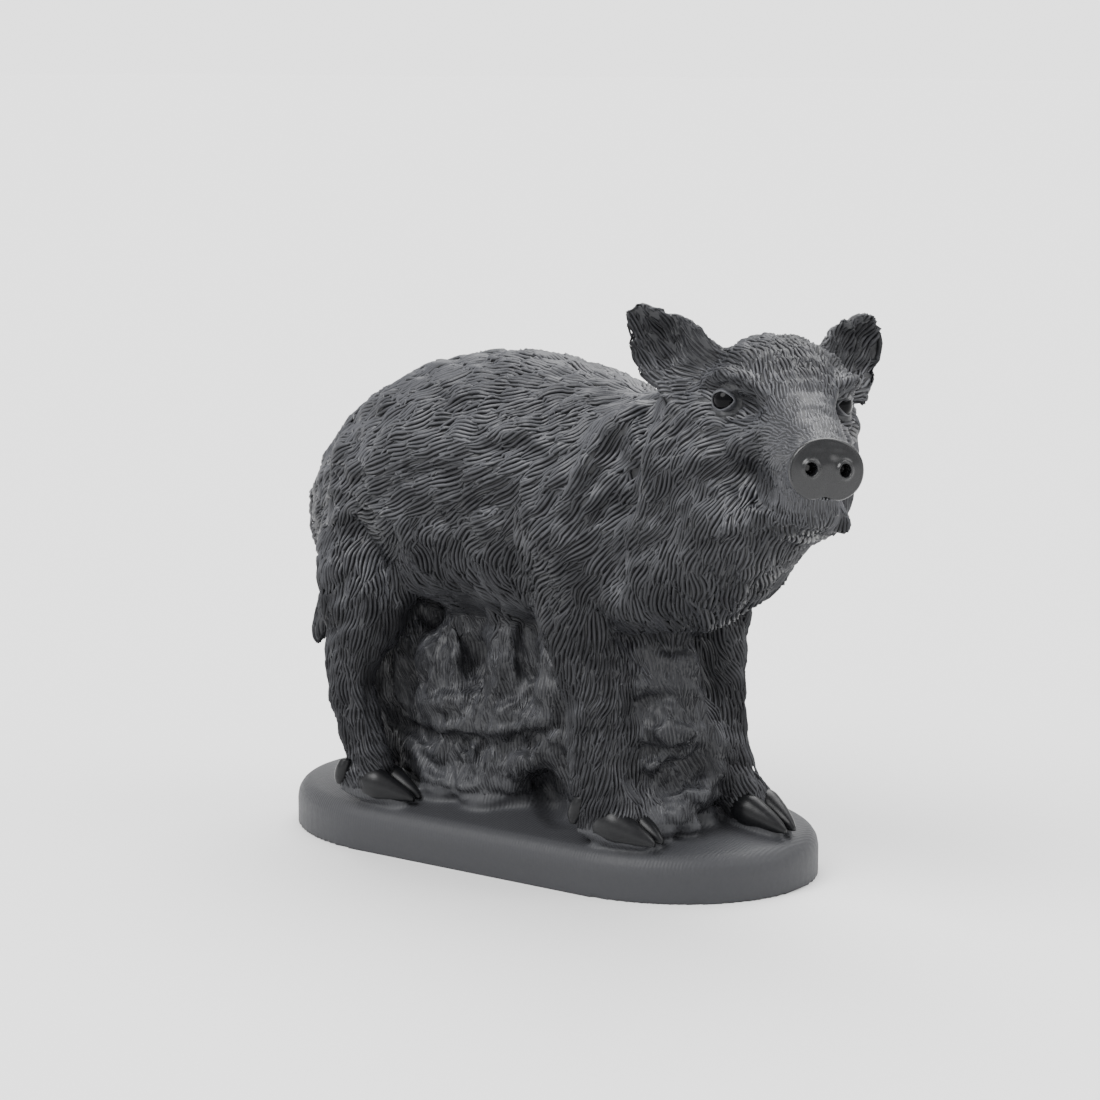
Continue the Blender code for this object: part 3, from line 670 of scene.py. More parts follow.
def line_distance(points, line):
    """How far points are outside a line of stations with radii, in mm from the plinth's top."""
    stations = np.array(line, float)
    best = np.full(len(points), 1e9)
    for start, end in zip(stations[:-1], stations[1:]):
        run = end[:3] - start[:3]
        share = np.clip(((points - start[:3]) @ run) / (run @ run), 0, 1)
        gap = np.sqrt(((points - start[:3] - share[:, None] * run) ** 2).sum(axis=1))
        best = np.minimum(best, gap - (start[3] + share * (end[3] - start[3])))
    return best


def disc_gap(head):
    """How far places in the head's frame are from the snout's axis, 1 at the disc's rim."""
    _, middle_y, middle_z = SNOUT_PLACE
    return np.hypot((head[:, 1] - middle_y) / SNOUT_WIDE, (head[:, 2] - middle_z) / SNOUT_HIGH)


def coat_share(points):
    """Where the coat grows, from 0 on rock, plinth, hooves, snout and eyes, to 1."""
    local = (points - np.array([0, 0, PLINTH_TOP])) / MM
    legs = np.min([line_distance(local, line) for line in LEG_LINES + (TAIL_LINE,)], axis=0)
    body = np.clip((points[:, 2] - PLINTH_TOP - BELLY_HEIGHT) / 0.006 + 0.5, 0, 1)
    limb = np.clip(1 - legs / 4, 0, 1) * (local[:, 2] > HOOF_HEIGHT)
    coat = np.maximum(body, limb)
    head = to_head(points) / MM
    behind_disc = (head[:, 0] > SNOUT_WALL) & (disc_gap(head) < SNOUT_WALL_SHARE)
    pit = np.sqrt((((local - np.array(FLANK_PIT)) / FLANK_PIT_RADII) ** 2).sum(axis=1)) < 1
    coat[pit & (legs > 3)] = 0
    coat[((head[:, 0] > SNOUT_RIM) | behind_disc) & (local[:, 2] > CHIN_HEIGHT)] = 0
    coat[twin_gap(head, SOCKET_PLACE) < SOCKET_REACH] = 0
    return coat


def mirrored_over_spine(points):
    """Places on the other side of the body's bent middle line."""
    middle = np.interp(points[:, 0] / MM, [x for x, _ in SPINE], [y for _, y in SPINE]) * MM
    flipped = points.copy()
    flipped[:, 1] = 2 * middle - points[:, 1]
    return flipped


def hair_guides(tree):
    """Places on the skin and the way the hair lies there, on both sides."""
    starts, ways, normals = [], [], []
    for lies, twin in (
        (BODY_LIES, mirrored_over_spine), (LEG_LIES, mirrored_over_spine), (HEAD_LIES, over_head),
        (EAR_LIES, None), (THROAT_LIES, over_head),
    ):
        pairs = []
        for lie in lies:
            root, normal = seen_on(tree, lie[:2])
            tip, _ = seen_on(tree, lie[2:])
            if root is not None and tip is not None and (tip - root).length <= LONGEST_LIE:
                pairs.append((root, tip, normal))
        roots, tips, out = (np.array(column) for column in zip(*pairs))
        sides = [(roots, tips, out)]
        if twin:
            sides.append((twin(roots), twin(tips), unit(twin(roots + out * 0.01) - twin(roots))))
        for roots, tips, out in sides:
            starts.append((roots + tips) / 2)
            ways.append(unit(tips - roots))
            normals.append(out)
    return np.vstack(starts), np.vstack(ways), np.vstack(normals)


def flow_at(points, normals, guides):
    """The way the hair lies at points of the skin."""
    spots, ways, out = guides
    gaps = ((points[:, None, :] - spots[None]) ** 2).sum(axis=2)
    facing = np.clip(normals @ out.T + 0.25, 0.02, None)
    weights = np.exp(-gaps / (2 * GUIDE_REACH**2)) * facing
    low = ramp(points[:, 2], 0.14, -0.02)[:, None]
    trend = BODY_TREND * (1 - low) + LEG_TREND * low
    way = weights @ ways + 0.015 * trend
    sway = wave_field(points, 0.05, 8) * 0.25
    down = np.stack([0.15 + sway, np.zeros(len(points)), -np.ones(len(points))], axis=1)
    way = np.where(on_rock(points)[:, None], down, way)
    way -= normals * (way * normals).sum(axis=1, keepdims=True)
    return unit(way)


def wave_field(points, scale, seed):
    """A smooth random value at each point, from a few crossing waves."""
    rng = np.random.default_rng(seed)
    total = np.zeros(len(points))
    for _ in range(7):
        way = unit(rng.normal(size=3)) / scale * rng.uniform(0.6, 1.5)
        total += np.sin(points @ way * 2 * np.pi + rng.uniform(0, 2 * np.pi))
    return total / 2.6


def turned(ways, normals, angles):
    """Directions turned in the skin by an angle each."""
    side = np.cross(normals, ways)
    return ways * np.cos(angles)[:, None] + side * np.sin(angles)[:, None]


def on_skin(tree, points):
    """The nearest places on the skin and the normals there."""
    found = [tree.find_nearest(p) for p in points.tolist()]
    return np.array([f[0] for f in found]), np.array([f[1] for f in found])


def on_rock(points):
    """Where the rock is brushed: off the coat, above the ground and below the belly."""
    low = (points[:, 2] > GROUND_TOP + 0.004) & (points[:, 2] < PLINTH_TOP + BELLY_HEIGHT + 0.02)
    return (coat_share(points) <= 0.5) & low


def spread_roots(mesh, rng):
    """Points spread evenly over coat and rock, no two closer than their own spacing."""
    mesh.calc_loop_triangles()
    count = len(mesh.loop_triangles)
    corners = np.empty(count * 3, np.int32)
    mesh.loop_triangles.foreach_get("vertices", corners)
    corners = corners.reshape(-1, 3)
    places, _ = vertex_arrays(mesh)
    a, b, c = places[corners[:, 0]], places[corners[:, 1]], places[corners[:, 2]]
    areas = np.sqrt((np.cross(b - a, c - a) ** 2).sum(axis=1)) / 2
    picks = rng.choice(count, size=ROOT_TRIALS, p=areas / areas.sum())
    u, v = rng.random(len(picks)), rng.random(len(picks))
    fold = u + v > 1
    u[fold], v[fold] = 1 - u[fold], 1 - v[fold]
    points = a[picks] + u[:, None] * (b - a)[picks] + v[:, None] * (c - a)[picks]
    points = points[(coat_share(points) > 0.5) | on_rock(points)]
    gaps = tuft_spacing(points)
    cell = gaps.max()
    grid = {}
    chosen = []
    for i, (point, gap) in enumerate(zip(points.tolist(), gaps.tolist())):
        key = tuple(int(np.floor(x / cell)) for x in point)
        near = (
            j
            for dx in (-1, 0, 1)
            for dy in (-1, 0, 1)
            for dz in (-1, 0, 1)
            for j in grid.get((key[0] + dx, key[1] + dy, key[2] + dz), ())
        )
        if all(sum((p - q) ** 2 for p, q in zip(point, points[j])) > gap * gap for j in near):
            grid.setdefault(key, []).append(i)
            chosen.append(i)
    return points[chosen]


# The coat.

COAT_PARTS = 4
# Places tried for the roots of tufts.
ROOT_TRIALS = 60000
LINE_STEPS = 12
# How many of those steps a tuft reaches back from its root.
BACK_STEPS = 4
RIDGE_STEPS = 9
# How high and wide a ridge is along its length, 1 in the middle.
RIDGE_SHARE = np.linspace(0, 1, RIDGE_STEPS)
RIDGE_PROFILE = np.sin(np.pi * np.clip(RIDGE_SHARE * 0.93 + 0.05, 0, 1)) ** 0.6
# How pale a crest on an underside is, beside 1 on the back: painted shade on crests that face down,
# painted light on those that face up.
PAINTED_SHADE_UNDERSIDE_TONE = 0.40

# Length, width, pitch of the ridges and lift of a tuft, in mm, by region.
BODY_TUFT = (31.0, 12.5, 2.3, 2.0)
LEG_TUFT = (25.0, 9.5, 2.0, 1.5)
CHEEK_TUFT = (27.0, 10.0, 2.05, 1.5)
FOREHEAD_TUFT = (14.0, 7.0, 1.9, 1.2)
MUZZLE_TUFT = (9.0, 5.0, 1.35, 0.5)
EAR_TUFT = (20.0, 7.5, 1.8, 0.75)
TAIL_TUFT = (18.0, 7.0, 2.0, 0.8)
ROCK_TUFT = (17.0, 8.0, 1.7, 0.6)
# How far apart tufts are rooted, beside the mean of their length and width.
TUFT_SPACING = 0.41


def tuft_lines(tree, roots, lengths, guides, rng):
    """The middle line of each tuft, marched over the skin along the lie of the hair."""
    points, normals = on_skin(tree, roots)
    for _ in range(BACK_STEPS):
        ways = flow_at(points, normals, guides)
        points, normals = on_skin(tree, points - ways * (lengths / LINE_STEPS)[:, None])
    lines, outs = [points], [normals]
    phase = wave_field(roots, 0.06, 5) * 3.0 + rng.normal(size=len(roots)) * 0.35
    swing = 0.22 + 0.14 * np.clip(wave_field(roots, 0.05, 6), -1, 1)
    for step in range(LINE_STEPS):
        ways = flow_at(points, normals, guides)
        bend = swing * np.sin(phase + 2 * np.pi * step / LINE_STEPS * lengths / 0.036)
        ways = turned(ways, normals, bend)
        points, normals = on_skin(tree, points + ways * (lengths / LINE_STEPS)[:, None])
        lines.append(points)
        outs.append(normals)
    return np.stack(lines, axis=1), np.stack(outs, axis=1)


def tuft_taper(share):
    """How wide a tuft is along its length, 1 in the middle."""
    return 0.84 + 0.16 * np.sin(np.pi * share) - 0.5 * np.clip(share - 0.6, 0, 1) / 0.4


def lain_over(points, owners, lines, widths, ranks):
    """Whether a tuft of higher rank lies over each point of each ridge."""
    stations = lines.shape[1]
    share = np.linspace(0, 1, stations)
    ends = np.clip(3.5 * np.minimum(share, 0.96 - share), 0.1, 1)
    reach = widths[:, None] * 0.42 * tuft_taper(share) * ends
    reaches = reach.ravel().tolist()
    ranks = ranks.tolist()
    near = KDTree(len(reaches))
    for index, spot in enumerate(lines.reshape(-1, 3).tolist()):
        near.insert(spot, index)
    near.balance()
    widest = max(reaches)
    hidden = np.zeros(points.shape[:2], bool)
    for ridge, (row, owner) in enumerate(zip(points.tolist(), owners)):
        for step, spot in enumerate(row):
            for _, index, gap in near.find_range(spot, widest):
                if gap < reaches[index] and ranks[index // stations] > ranks[owner]:
                    hidden[ridge, step] = True
                    break
    return hidden


def combed(lines, outs, widths, pitches, lifts, rng):
    """The ridges of all tufts: their places, widths and rises by step, and the tuft of each."""
    sides = unit(np.cross(outs, unit(np.gradient(lines, axis=1))))
    centres, scales, rises, owners = [], [], [], []
    for tuft in range(len(lines)):
        half = widths[tuft] / 2
        count = max(2, int(round(widths[tuft] / pitches[tuft])))
        for offset in np.linspace(-half, half, count):
            start = rng.uniform(0, 0.12) * LINE_STEPS
            end = (rng.uniform(0.85, 1.0) - 0.2 * (offset / half) ** 2) * LINE_STEPS
            where = start + RIDGE_SHARE * (end - start)
            low = np.minimum(where.astype(int), LINE_STEPS - 1)
            part = (where - low)[:, None]
            middle = lines[tuft, low] * (1 - part) + lines[tuft, low + 1] * part
            side = sides[tuft, low] * (1 - part) + sides[tuft, low + 1] * part
            spread = tuft_taper(where / LINE_STEPS)
            sway = rng.uniform(-0.14, 0.14) * pitches[tuft]
            centres.append(middle + side * (offset * spread + sway)[:, None])
            wide = pitches[tuft] * rng.uniform(0.9, 1.15)
            scales.append(wide * (0.3 + 0.7 * RIDGE_PROFILE) * (0.25 + 0.75 * spread))
            crown = 1 - (offset / half) ** 2
            high = lifts[tuft] * ((0.25 + 0.75 * RIDGE_SHARE) * RIDGE_PROFILE)
            rises.append(high * (0.7 + 0.4 * crown))
            owners.append(tuft)
    return np.array(centres), np.array(scales), np.array(rises), owners


def crest_tones(places, normals, tuft_tones):
    """How pale the crests are, from 0 to 1: painted light on top and painted shade below and low down,
    darker on the crown and the ears.
    """
    # Painted light and shade: crests that face up are paler, those that face down darker.
    tone_and_painted_light = PAINTED_SHADE_UNDERSIDE_TONE + (1 - PAINTED_SHADE_UNDERSIDE_TONE) * ramp(normals[:, 2], -0.06, 0.55)
    tone_and_painted_light *= 1 + 0.16 * np.clip(wave_field(places, 0.035, 12), -1.5, 1.5)
    tone_and_painted_light *= tuft_tones
    # Painted shade: darker on the rock and low down on the legs and chest.
    tone_and_painted_light *= np.where(on_rock(places), 0.85, 1.0) * (1 - 0.3 * ramp(places[:, 2], 0.2, -0.06))
    head = to_head(places) / MM
    x, y, z = head.T
    muzzle = muzzle_share(head) * (places[:, 2] > HEAD_LOW)
    crown = ramp(z, 12, 10) * np.where(np.abs(y) > 34, 1.2, 0.9) * (x > -60)
    tone_and_painted_light = (tone_and_painted_light + (np.maximum(tone_and_painted_light, 0.75) - tone_and_painted_light) * muzzle) * (1 - 0.42 * crown)
    return np.clip(tone_and_painted_light, 0, 1)


def ridge_pieces(tree, lines, outs, widths, pitches, lifts, rng):
    """The combed ridges of all tufts, as strips with a raised crest and sunk edges."""
    centres, scales, rises, owners = combed(lines, outs, widths, pitches, lifts, rng)
    places, normals = on_skin(tree, centres.reshape(-1, 3))
    placed = places.reshape(centres.shape)
    hidden = lain_over(placed, owners, lines, widths, rng.random(len(lines)))
    bare = (coat_share(places) <= 0.5) & ~on_rock(places)
    hidden |= bare.reshape(hidden.shape)
    patchy = on_rock(places) & (wave_field(places, 0.03, 9) > 0.5)
    fade = ramp(places[:, 2], GROUND_TOP, 0.012) * np.where(patchy, 0.45, 1.0)
    rises = rises * fade.reshape(rises.shape)
    ends = 0.4 * lifts[owners][:, None] * (1 - RIDGE_PROFILE)
    rises = np.where(hidden, -0.5 * scales, rises - ends)
    tuft_tones = np.repeat(rng.uniform(0.82, 1.14, len(lines))[owners], RIDGE_STEPS)
    # The crests' paleness, which holds painted light on top and painted shade below.
    tone_and_painted_light = crest_tones(places, normals, tuft_tones).reshape(scales.shape)
    normals = normals.reshape(centres.shape)
    sides = unit(np.cross(normals, unit(np.gradient(placed, axis=1))))
    half = (scales * 0.56)[..., None]
    sunk = (rises - scales * 0.62)[..., None]
    crest = placed + normals * rises[..., None]
    left = placed + sides * half + normals * sunk
    right = placed - sides * half + normals * sunk
    rows = np.stack([left, crest, right], axis=2)
    seen = ~hidden
    kept = np.flatnonzero(seen.sum(axis=1) > 1)
    kept = kept[np.argsort(placed[kept, 0, 0])]
    return [
        strip_object(f"coat_{part + 1}", rows[index], seen[index], tone_and_painted_light[index])
        for part, index in enumerate(np.array_split(kept, COAT_PARTS))
    ]


def strip_object(name, rows, seen, tone_and_painted_light):
    """One mesh of many strips, three points across, without the stretches that are hidden."""
    count, steps = rows.shape[:2]
    base = (np.arange(count) * steps * 3)[:, None]
    step = (np.arange(steps - 1) * 3)[None, :]
    corner = (base + step)[seen[:, 1:] | seen[:, :-1]]
    corner = np.concatenate([corner, corner + 1])
    faces = np.stack([corner, corner + 3, corner + 4, corner + 1], axis=1)
    used, faces = np.unique(faces, return_inverse=True)
    faces = faces.reshape(-1, 4)
    mesh = bpy.data.meshes.new(name)
    mesh.from_pydata(rows.reshape(-1, 3)[used].tolist(), [], faces.tolist())
    mesh.shade_smooth()
    # The ridge map's first coordinate: 0, the darkest tone, at the sunk edges as painted shade in the
    # grooves, and the crest's paleness, with its painted light, on the crest.
    across = np.where(used % 3 == 1, tone_and_painted_light.ravel()[used // 3], 0.0)
    along = (used // 3 % steps) / (steps - 1)
    corners = faces.ravel()
    layer = mesh.uv_layers.new(name="ridge")
    spots = np.stack([across[corners], along[corners]], axis=1)
    layer.data.foreach_set("uv", spots.astype(np.float32).ravel())
    return new_object(name, mesh)


def build_coat(skin, tree):
    """The combed coat over body, legs, head and ears."""
    rng = np.random.default_rng(11)
    guides = hair_guides(tree)
    roots = spread_roots(skin.data, rng)
    sizes = tuft_sizes(roots)
    lengths = sizes[0] * rng.uniform(0.8, 1.25, len(roots))
    widths = sizes[1] * rng.uniform(0.8, 1.2, len(roots))
    lifts = sizes[3] * rng.uniform(0.75, 1.2, len(roots))
    lines, outs = tuft_lines(tree, roots, lengths, guides, rng)
    return ridge_pieces(tree, lines, outs, widths, sizes[2], lifts, rng)


def muzzle_share(head):
    """Where the face is smooth, towards the snout, from 0 to 1."""
    x, _, z = head.T
    start = 42 - 16 * ramp(z, -22, 14)
    return np.clip((x - start) / 18, 0, 1) * ramp(z, -62, 16)


def tuft_sizes(points):
    """The length, width, pitch and lift of a tuft rooted at each point, in metres."""
    head = to_head(points) / MM
    x, y, z = head.T
    rise = (points[:, 2] - PLINTH_TOP) / MM
    leg = ramp(rise, 125, -25)
    on_head = ramp(x, -46, 14) * (rise > 165)
    high = ramp(z, -4, 12)
    ear = on_head * (np.abs(y) > 36) * ramp(z, 14, 8)
    tail_gap = line_distance((points - (0, 0, PLINTH_TOP)) / MM, TAIL_LINE)
    tail = (tail_gap < 3) * (points[:, 0] < -0.15)
    sizes = np.array(BODY_TUFT)[:, None] * np.ones(len(points))
    for share, target in (
        (leg, LEG_TUFT), (on_head, CHEEK_TUFT), (on_head * high, FOREHEAD_TUFT),
        (on_head * muzzle_share(head), MUZZLE_TUFT), (ear, EAR_TUFT), (tail, TAIL_TUFT),
    ):
        sizes = sizes * (1 - share) + np.array(target)[:, None] * share
    sizes = np.where(on_rock(points), np.array(ROCK_TUFT)[:, None], sizes)
    return sizes * MM


def tuft_spacing(points):
    """How far apart tufts are rooted."""
    length, width, _, _ = tuft_sizes(points)
    return np.sqrt(length * width) * TUFT_SPACING


# The smooth parts of the face and feet.

SNOUT_PLACE = (94.6, 0.0, -27.0)
SNOUT_WIDE = 19.8
SNOUT_HIGH = 16.4
SNOUT_DEEP = 12.0
SNOUT_CROWN = 4.2
SNOUT_ROLL = 2.0
NOSTRIL_ASIDE = 8.8
NOSTRIL_RAISED = 0.8


def snout_piece():
    """The disc of the snout: a crowned face with a rolled rim, two nostrils and a notch below."""
    turns = np.linspace(0, 2 * np.pi, 128, endpoint=False)
    inner = np.linspace(0.02, 0.9, 40)
    roll = np.radians(np.linspace(20, 90, 7))
    crowned = SNOUT_CROWN * inner**2.1
    shares = np.concatenate([inner, 0.9 + 0.1 * np.sin(roll), [0.99, 0.955, 0.84]])
    rolled = crowned[-1] + SNOUT_ROLL * (1 - np.cos(roll))
    backs = np.concatenate([crowned, rolled, [6.2, 8.0, SNOUT_DEEP]])
    share, turn = np.meshgrid(shares, turns, indexing="ij")
    below = np.exp(-(((turn - 1.5 * np.pi) / 0.26) ** 2))
    above = np.exp(-(((turn - 0.5 * np.pi) / 0.5) ** 2))
    reach = 1 - 0.19 * below * share**6 + 0.03 * above - 0.012 * np.cos(4 * turn)
    y = SNOUT_WIDE * share * reach * np.cos(turn)
    z = SNOUT_HIGH * share * reach * np.sin(turn)
    x = -backs[:, None] * np.ones_like(y)
    face = np.clip(1 - share**2.5, 0, 1) * (share < 0.93)
    x += face * (0.9 * np.exp(-((y / 3.6) ** 2 + ((z - 8) / 6) ** 2)) - 0.5)
    x -= face * 1.3 * np.exp(-((y / 14) ** 2 + ((z - 9) / 3.5) ** 2))
    x -= face * 0.9 * np.exp(-((y / 2.2) ** 2 + ((z + 11) / 6) ** 2))
    for side in (-1, 1):
        gap = np.hypot(y - NOSTRIL_ASIDE * side, (z - NOSTRIL_RAISED) / 1.15)
        rim = np.exp(-(((gap - 3.5) / 1.0) ** 2))
        x += np.minimum(1, 2 * face) * (1.3 * rim - 8.5 * np.clip(2.4 * (1 - gap / 3.0), 0, 1))
    places = np.stack([x, y, z], axis=2).reshape(-1, 3) + SNOUT_PLACE
    rows, columns = share.shape
    faces = ring_faces(rows, columns).tolist()
    faces.append(list(range(columns))[::-1])
    faces.append([len(places) - columns + i for i in range(columns)])
    mesh = bpy.data.meshes.new("snout_disc")
    mesh.from_pydata(from_head(places * MM).tolist(), [], faces)
    mesh.shade_smooth()
    return new_object("snout_disc", mesh)


EYE_PLACE = (-3.0, 31.4, 1.4)
EYE_ASIDE = {-1: -31.4, 1: 29.6}
EYE_RADIUS = 7.6
# The lids' opening as angles from the middle of the eye: to the nose, outwards, up and down. Their
# section from the opening outwards: height over the eyeball in mm and the angle past the opening.
LID_OPENING = (1.12, 1.05, 0.62, 0.7)
LID_PROFILE = (
    (-0.3, 0.02), (0.2, -0.015), (0.5, 0.0), (0.65, 0.05), (0.65, 0.12), (0.5, 0.22), (0.3, 0.34),
    (0.0, 0.5), (-0.6, 0.7),
)
LID_TURNS = 72


def eye_axes(side):
    """The way an eye looks, the way towards the nose and up, in the head's frame."""
    look = unit(np.array([0.70, 0.71 * side, 0.02]))
    up = unit(np.array([-0.06, 0.0, 1.0]) - look * look[2])
    return look, unit(np.cross(up, look)) * side, up


def eyeballs_piece():
    """The glossy eyeballs."""
    work = bmesh.new()
    for side in (-1, 1):
        place = Vector((EYE_PLACE[0], EYE_ASIDE[side], EYE_PLACE[2])) * MM
        matrix = HEAD @ Matrix.Translation(place)
        radius = EYE_RADIUS * MM
        bmesh.ops.create_uvsphere(work, u_segments=40, v_segments=24, radius=radius, matrix=matrix)
    return smooth_object("eyeballs", work)


def eyelids_piece():
    """The lids as rolled folds round the eyeballs."""
    rings, faces = [], []
    turns = np.linspace(0, 2 * np.pi, LID_TURNS, endpoint=False)
    across, rise = np.cos(turns), np.sin(turns)
    wide = np.where(across > 0, LID_OPENING[0], LID_OPENING[1])
    high = np.where(rise > 0, LID_OPENING[2], LID_OPENING[3])
    opening = (np.abs(across / wide) ** 1.5 + np.abs(rise / high) ** 1.5) ** (-1 / 1.5)
    heavy = 1 + 0.5 * np.clip(rise, 0, 1)
    for side in (-1, 1):
        look, nose, up = eye_axes(side)
        middle = np.array([EYE_PLACE[0], EYE_ASIDE[side], EYE_PLACE[2]])
        sideways = nose * across[:, None] + up * rise[:, None]
        faces.extend((ring_faces(len(LID_PROFILE), LID_TURNS) + len(rings) * LID_TURNS).tolist())
        for thick, spread in LID_PROFILE:
            polar = (opening + spread)[:, None]
            ways = look * np.cos(polar) + sideways * np.sin(polar)
            rings.append(middle + ways * (EYE_RADIUS + thick * heavy)[:, None])
    mesh = bpy.data.meshes.new("eyelids_shell")
    mesh.from_pydata(from_head(np.vstack(rings) * MM).tolist(), [], faces)
    work = bmesh.new()
    work.from_mesh(mesh)
    bpy.data.meshes.remove(mesh)
    bmesh.ops.recalc_face_normals(work, faces=work.faces)
    return smooth_object("eyelids", work)


# The hooves' x and y in mm, their turn in degrees and their size.
HOOF_PLACES = ((97, -65, -2, 1.0), (141, 7, -10, 1.0), (-74, -68, 6, 0.94), (-95, 53, -4, 0.94))
# How far the hooves' soles are above the plinth's own top.
HOOF_RAISED = 0.0035
# The horns of one foot: x, y, z, half width and half height in mm.
TOE_STATIONS = (
    (-9, 8.4, 8.5, 6.0, 8.0), (-3, 8.2, 9.4, 7.6, 9.8), (4, 7.6, 9.0, 8.0, 10.2),
    (11, 6.7, 7.2, 6.6, 8.3), (18, 5.5, 4.9, 4.9, 6.0), (23.5, 4.4, 2.9, 2.9, 3.6),
    (26.5, 3.8, 1.4, 1.1, 1.6),
)
DEWCLAW_STATIONS = (
    (-19, 12.5, 24, 3.0, 3.5), (-20.5, 13, 19, 4.4, 4.6), (-22, 13.6, 13, 3.8, 4.4),
    (-23, 14, 8, 1.6, 2.0),
)


def loft(work, stations, matrix, side, upright):
    """A closed horn of ellipses strung along stations."""
    track = smooth_track([(x, y * side, z, w, h) for x, y, z, w, h in stations])
    turns = np.linspace(0, 2 * np.pi, 24, endpoint=False)
    rings = []
    for x, y, z, wide, high in track:
        ring = []
        for turn in turns:
            across, rise = wide * np.cos(turn), high * np.sin(turn)
            spot = (x + rise, y + across, z) if upright else (x, y + across, max(0.2, z + rise))
            ring.append(work.verts.new(matrix @ (Vector(spot) * MM)))
        rings.append(ring)
    for one, two in zip(rings, rings[1:]):
        for i in range(len(turns)):
            j = (i + 1) % len(turns)
            work.faces.new((one[i], one[j], two[j], two[i]))
    work.faces.new(rings[0][::-1])
    work.faces.new(rings[-1])


def hoof_piece():
    """The smooth horn of the cloven hooves and the dewclaws behind them."""
    work = bmesh.new()
    for x, y, yaw, size in HOOF_PLACES:
        matrix = Matrix.Translation(Vector((x, y, 0)) * MM + Vector((0, 0, PLINTH_TOP + HOOF_RAISED)))
        matrix = matrix @ Matrix.Rotation(np.radians(yaw), 4, "Z") @ Matrix.Scale(size, 4)
        for side in (-1, 1):
            loft(work, TOE_STATIONS, matrix, side, False)
            loft(work, DEWCLAW_STATIONS, matrix, side, True)
    bmesh.ops.recalc_face_normals(work, faces=work.faces)
    return smooth_object("hooves", work)


# The finish.


def add_node(tree, kind, inputs, **settings):
    """A shader node, with its inputs set to values or linked to the sockets given for them."""
    node = tree.nodes.new("ShaderNode" + kind)
    for name, value in settings.items():
        setattr(node, name, value)
    for name, value in inputs.items():
        if isinstance(value, bpy.types.NodeSocket):
            tree.links.new(value, node.inputs[name])
        else:
            node.inputs[name].default_value = value
    return node


def brush_ground(material):
    """Fine brushed strokes across the ground and over the plinth's edge, fading out down its side."""
    tree = material.node_tree
    place = add_node(tree, "TexCoord", {}).outputs["Object"]
    waves = {"Vector": place, "Scale": 165, "Distortion": 5, "Detail": 3, "Detail Scale": 0.35}
    strokes = add_node(tree, "TexWave", waves, bands_direction="X")
    height = add_node(tree, "SeparateXYZ", {"Vector": place}).outputs["Z"]
    limits = {"Value": height, "From Min": 0.010, "From Max": 0.026, "To Max": 0.3}
    fade = add_node(tree, "MapRange", limits, interpolation_type="SMOOTHSTEP")
    raised = add_node(tree, "Bump", {
        "Distance": 0.0004, "Strength": fade.outputs["Result"], "Height": strokes.outputs["Fac"],
        "Normal": tree.nodes["Bump"].outputs["Normal"],
    })
    tree.links.new(raised.outputs["Normal"], tree.nodes["Principled BSDF"].inputs["Normal"])


def black_resin(name, noise_scale, bump, gloss_range, tones, ridged=False, shine=0.36):
    """Satin black resin with a fine tooled grain; on the coat, paler and shinier on the crests, where the
    paleness is painted light, and dark in the grooves as painted shade.
    """
    material = bpy.data.materials.new(name)
    material.use_nodes = True
    tree = material.node_tree
    shader = tree.nodes["Principled BSDF"].inputs
    shader["Specular IOR Level"].default_value = shine
    place = add_node(tree, "TexCoord", {}).outputs["Object"]
    noise = {"Vector": place, "Scale": noise_scale, "Detail": 4}
    grain = add_node(tree, "TexNoise", noise).outputs["Fac"]
    tone_and_painted_light = grain
    if ridged:
        # On the coat the tone follows the ridge map: painted shade in the grooves, painted light on the
        # crests.
        ridge = add_node(tree, "UVMap", {}, uv_map="ridge").outputs["UV"]
        tone_and_painted_light = add_node(tree, "SeparateXYZ", {"Vector": ridge}).outputs["X"]
        crest = add_node(tree, "MapRange", {"Value": tone_and_painted_light, "To Min": 0.05, "To Max": 0.42})
        tree.links.new(crest.outputs["Result"], shader["Specular IOR Level"])
    tone = add_node(tree, "ValToRGB", {"Fac": tone_and_painted_light})
    for element, colour in zip(tone.color_ramp.elements, tones):
        element.color = colour
    raised = add_node(tree, "Bump", {"Height": grain, "Strength": bump, "Distance": 0.0006})
    limits = {"Value": grain, "To Min": gloss_range[0], "To Max": gloss_range[1]}
    gloss = add_node(tree, "MapRange", limits)
    tree.links.new(tone.outputs["Color"], shader["Base Color"])
    tree.links.new(raised.outputs["Normal"], shader["Normal"])
    tree.links.new(gloss.outputs["Result"], shader["Roughness"])
    return material


# The stage.

SKY_STRENGTH = 1.0
HORIZON_STRENGTH = 2.4
# Name, turn and rise in degrees, power and spread in degrees.
LAMPS = (("back", 205, 60, 3.4, 50), ("front_left", -14, 48, 3.4, 36), ("right", 110, 42, 1.3, 40))


def add_floor():
    """A plain pale floor."""
    work = bmesh.new()
    bmesh.ops.create_grid(work, x_segments=1, y_segments=1, size=40)
    floor = smooth_object("floor", work)
    material = bpy.data.materials.new("pale_floor")
    material.use_nodes = True
    shader = material.node_tree.nodes["Principled BSDF"].inputs
    shader["Base Color"].default_value = (0.82, 0.82, 0.82, 1)
    shader["Roughness"].default_value = 0.9
    floor.data.materials.append(material)


def add_sun(name, turn, rise, power, spread):
    """A far, soft lamp, by its turn from the front view and its rise, in degrees."""
    data = bpy.data.lights.new(name, "SUN")
    data.energy = power
    data.angle = np.radians(spread)
    lamp = new_object(name, data)
    lamp.rotation_euler = (-facing(turn, rise)).to_track_quat("-Z", "Y").to_euler()


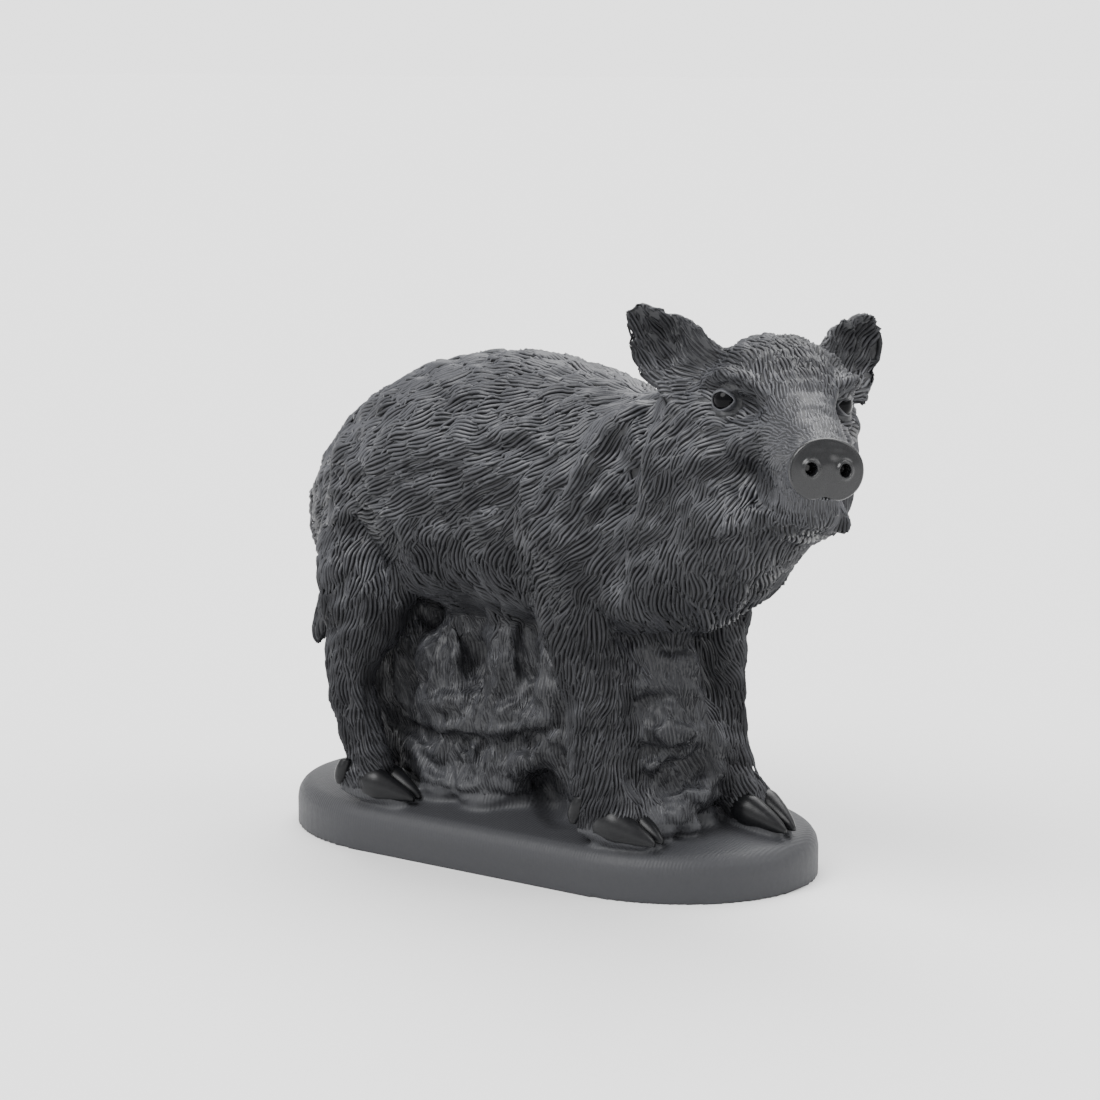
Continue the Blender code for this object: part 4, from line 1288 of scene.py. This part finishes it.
def add_world():
    """White light from all round, brightest in a thin band at the horizon."""
    world = bpy.data.worlds.new("studio")
    world.use_nodes = True
    tree = world.node_tree
    way = add_node(tree, "TexCoord", {}).outputs["Generated"]
    rise = add_node(tree, "SeparateXYZ", {"Vector": way}).outputs["Z"]
    fade = add_node(tree, "MapRange", {
        "Value": rise, "From Min": 0.02, "From Max": 0.16, "To Min": HORIZON_STRENGTH,
        "To Max": SKY_STRENGTH,
    })
    shade = tree.nodes["Background"].inputs
    shade["Color"].default_value = (1, 1, 1, 1)
    tree.links.new(fade.outputs["Result"], shade["Strength"])
    bpy.context.scene.world = world


def resin_finishes():
    """The resin's finish for each kind of piece."""
    plain_tones = (RESIN_PLAIN, RESIN_PLAIN)
    polished_tones = (RESIN_DARK, RESIN_SMOOTH)
    glossy_tones = (RESIN_BLACK, RESIN_BLACK)
    finishes = {
        "casting": black_resin("resin_skin", 420, 0.35, (0.42, 0.56), (RESIN_SMOOTH, RESIN_PLAIN)),
        "casting_base": black_resin("resin_base", 420, 0.2, (0.50, 0.64), plain_tones),
        "eyelids": black_resin("resin_face", 700, 0.25, (0.38, 0.52), (RESIN_PLAIN, RESIN_PALE)),
        # The coat's tones are painted light and shade across each ridge.
        "coat": black_resin("resin_coat", 900, 0.25, (0.30, 0.42), (RESIN_DARK, RESIN_PALE), True),
        "hooves": black_resin("resin_polished", 500, 0.08, (0.30, 0.40), polished_tones, shine=0.24),
        "snout_disc": black_resin("resin_horn", 500, 0.08, (0.24, 0.32), polished_tones, shine=0.45),
        "eyeballs": black_resin("resin_glossy", 400, 0.02, (0.08, 0.12), glossy_tones, shine=0.08),
    }
    brush_ground(finishes["casting_base"])
    return finishes


def main():
    """Dresses the casting and sets the stage."""
    add_camera()
    skin = build_skin()
    tree = tree_of(skin.data)
    tool_skin(skin, tree)
    tree = tree_of(skin.data)
    coat = build_coat(skin, tree)
    sink_under_coat(skin)
    casting = parted(skin)
    pieces = casting + coat + [snout_piece(), eyeballs_piece(), eyelids_piece(), hoof_piece()]
    finishes = resin_finishes()
    for piece in pieces:
        kind = "coat" if piece in coat else piece.name
        piece.data.materials.append(finishes.get(kind, finishes["casting"]))
        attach(piece, "root")
        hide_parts("piglet_on_plinth")
    add_floor()
    for lamp in LAMPS:
        add_sun(*lamp)
    add_world()


main()
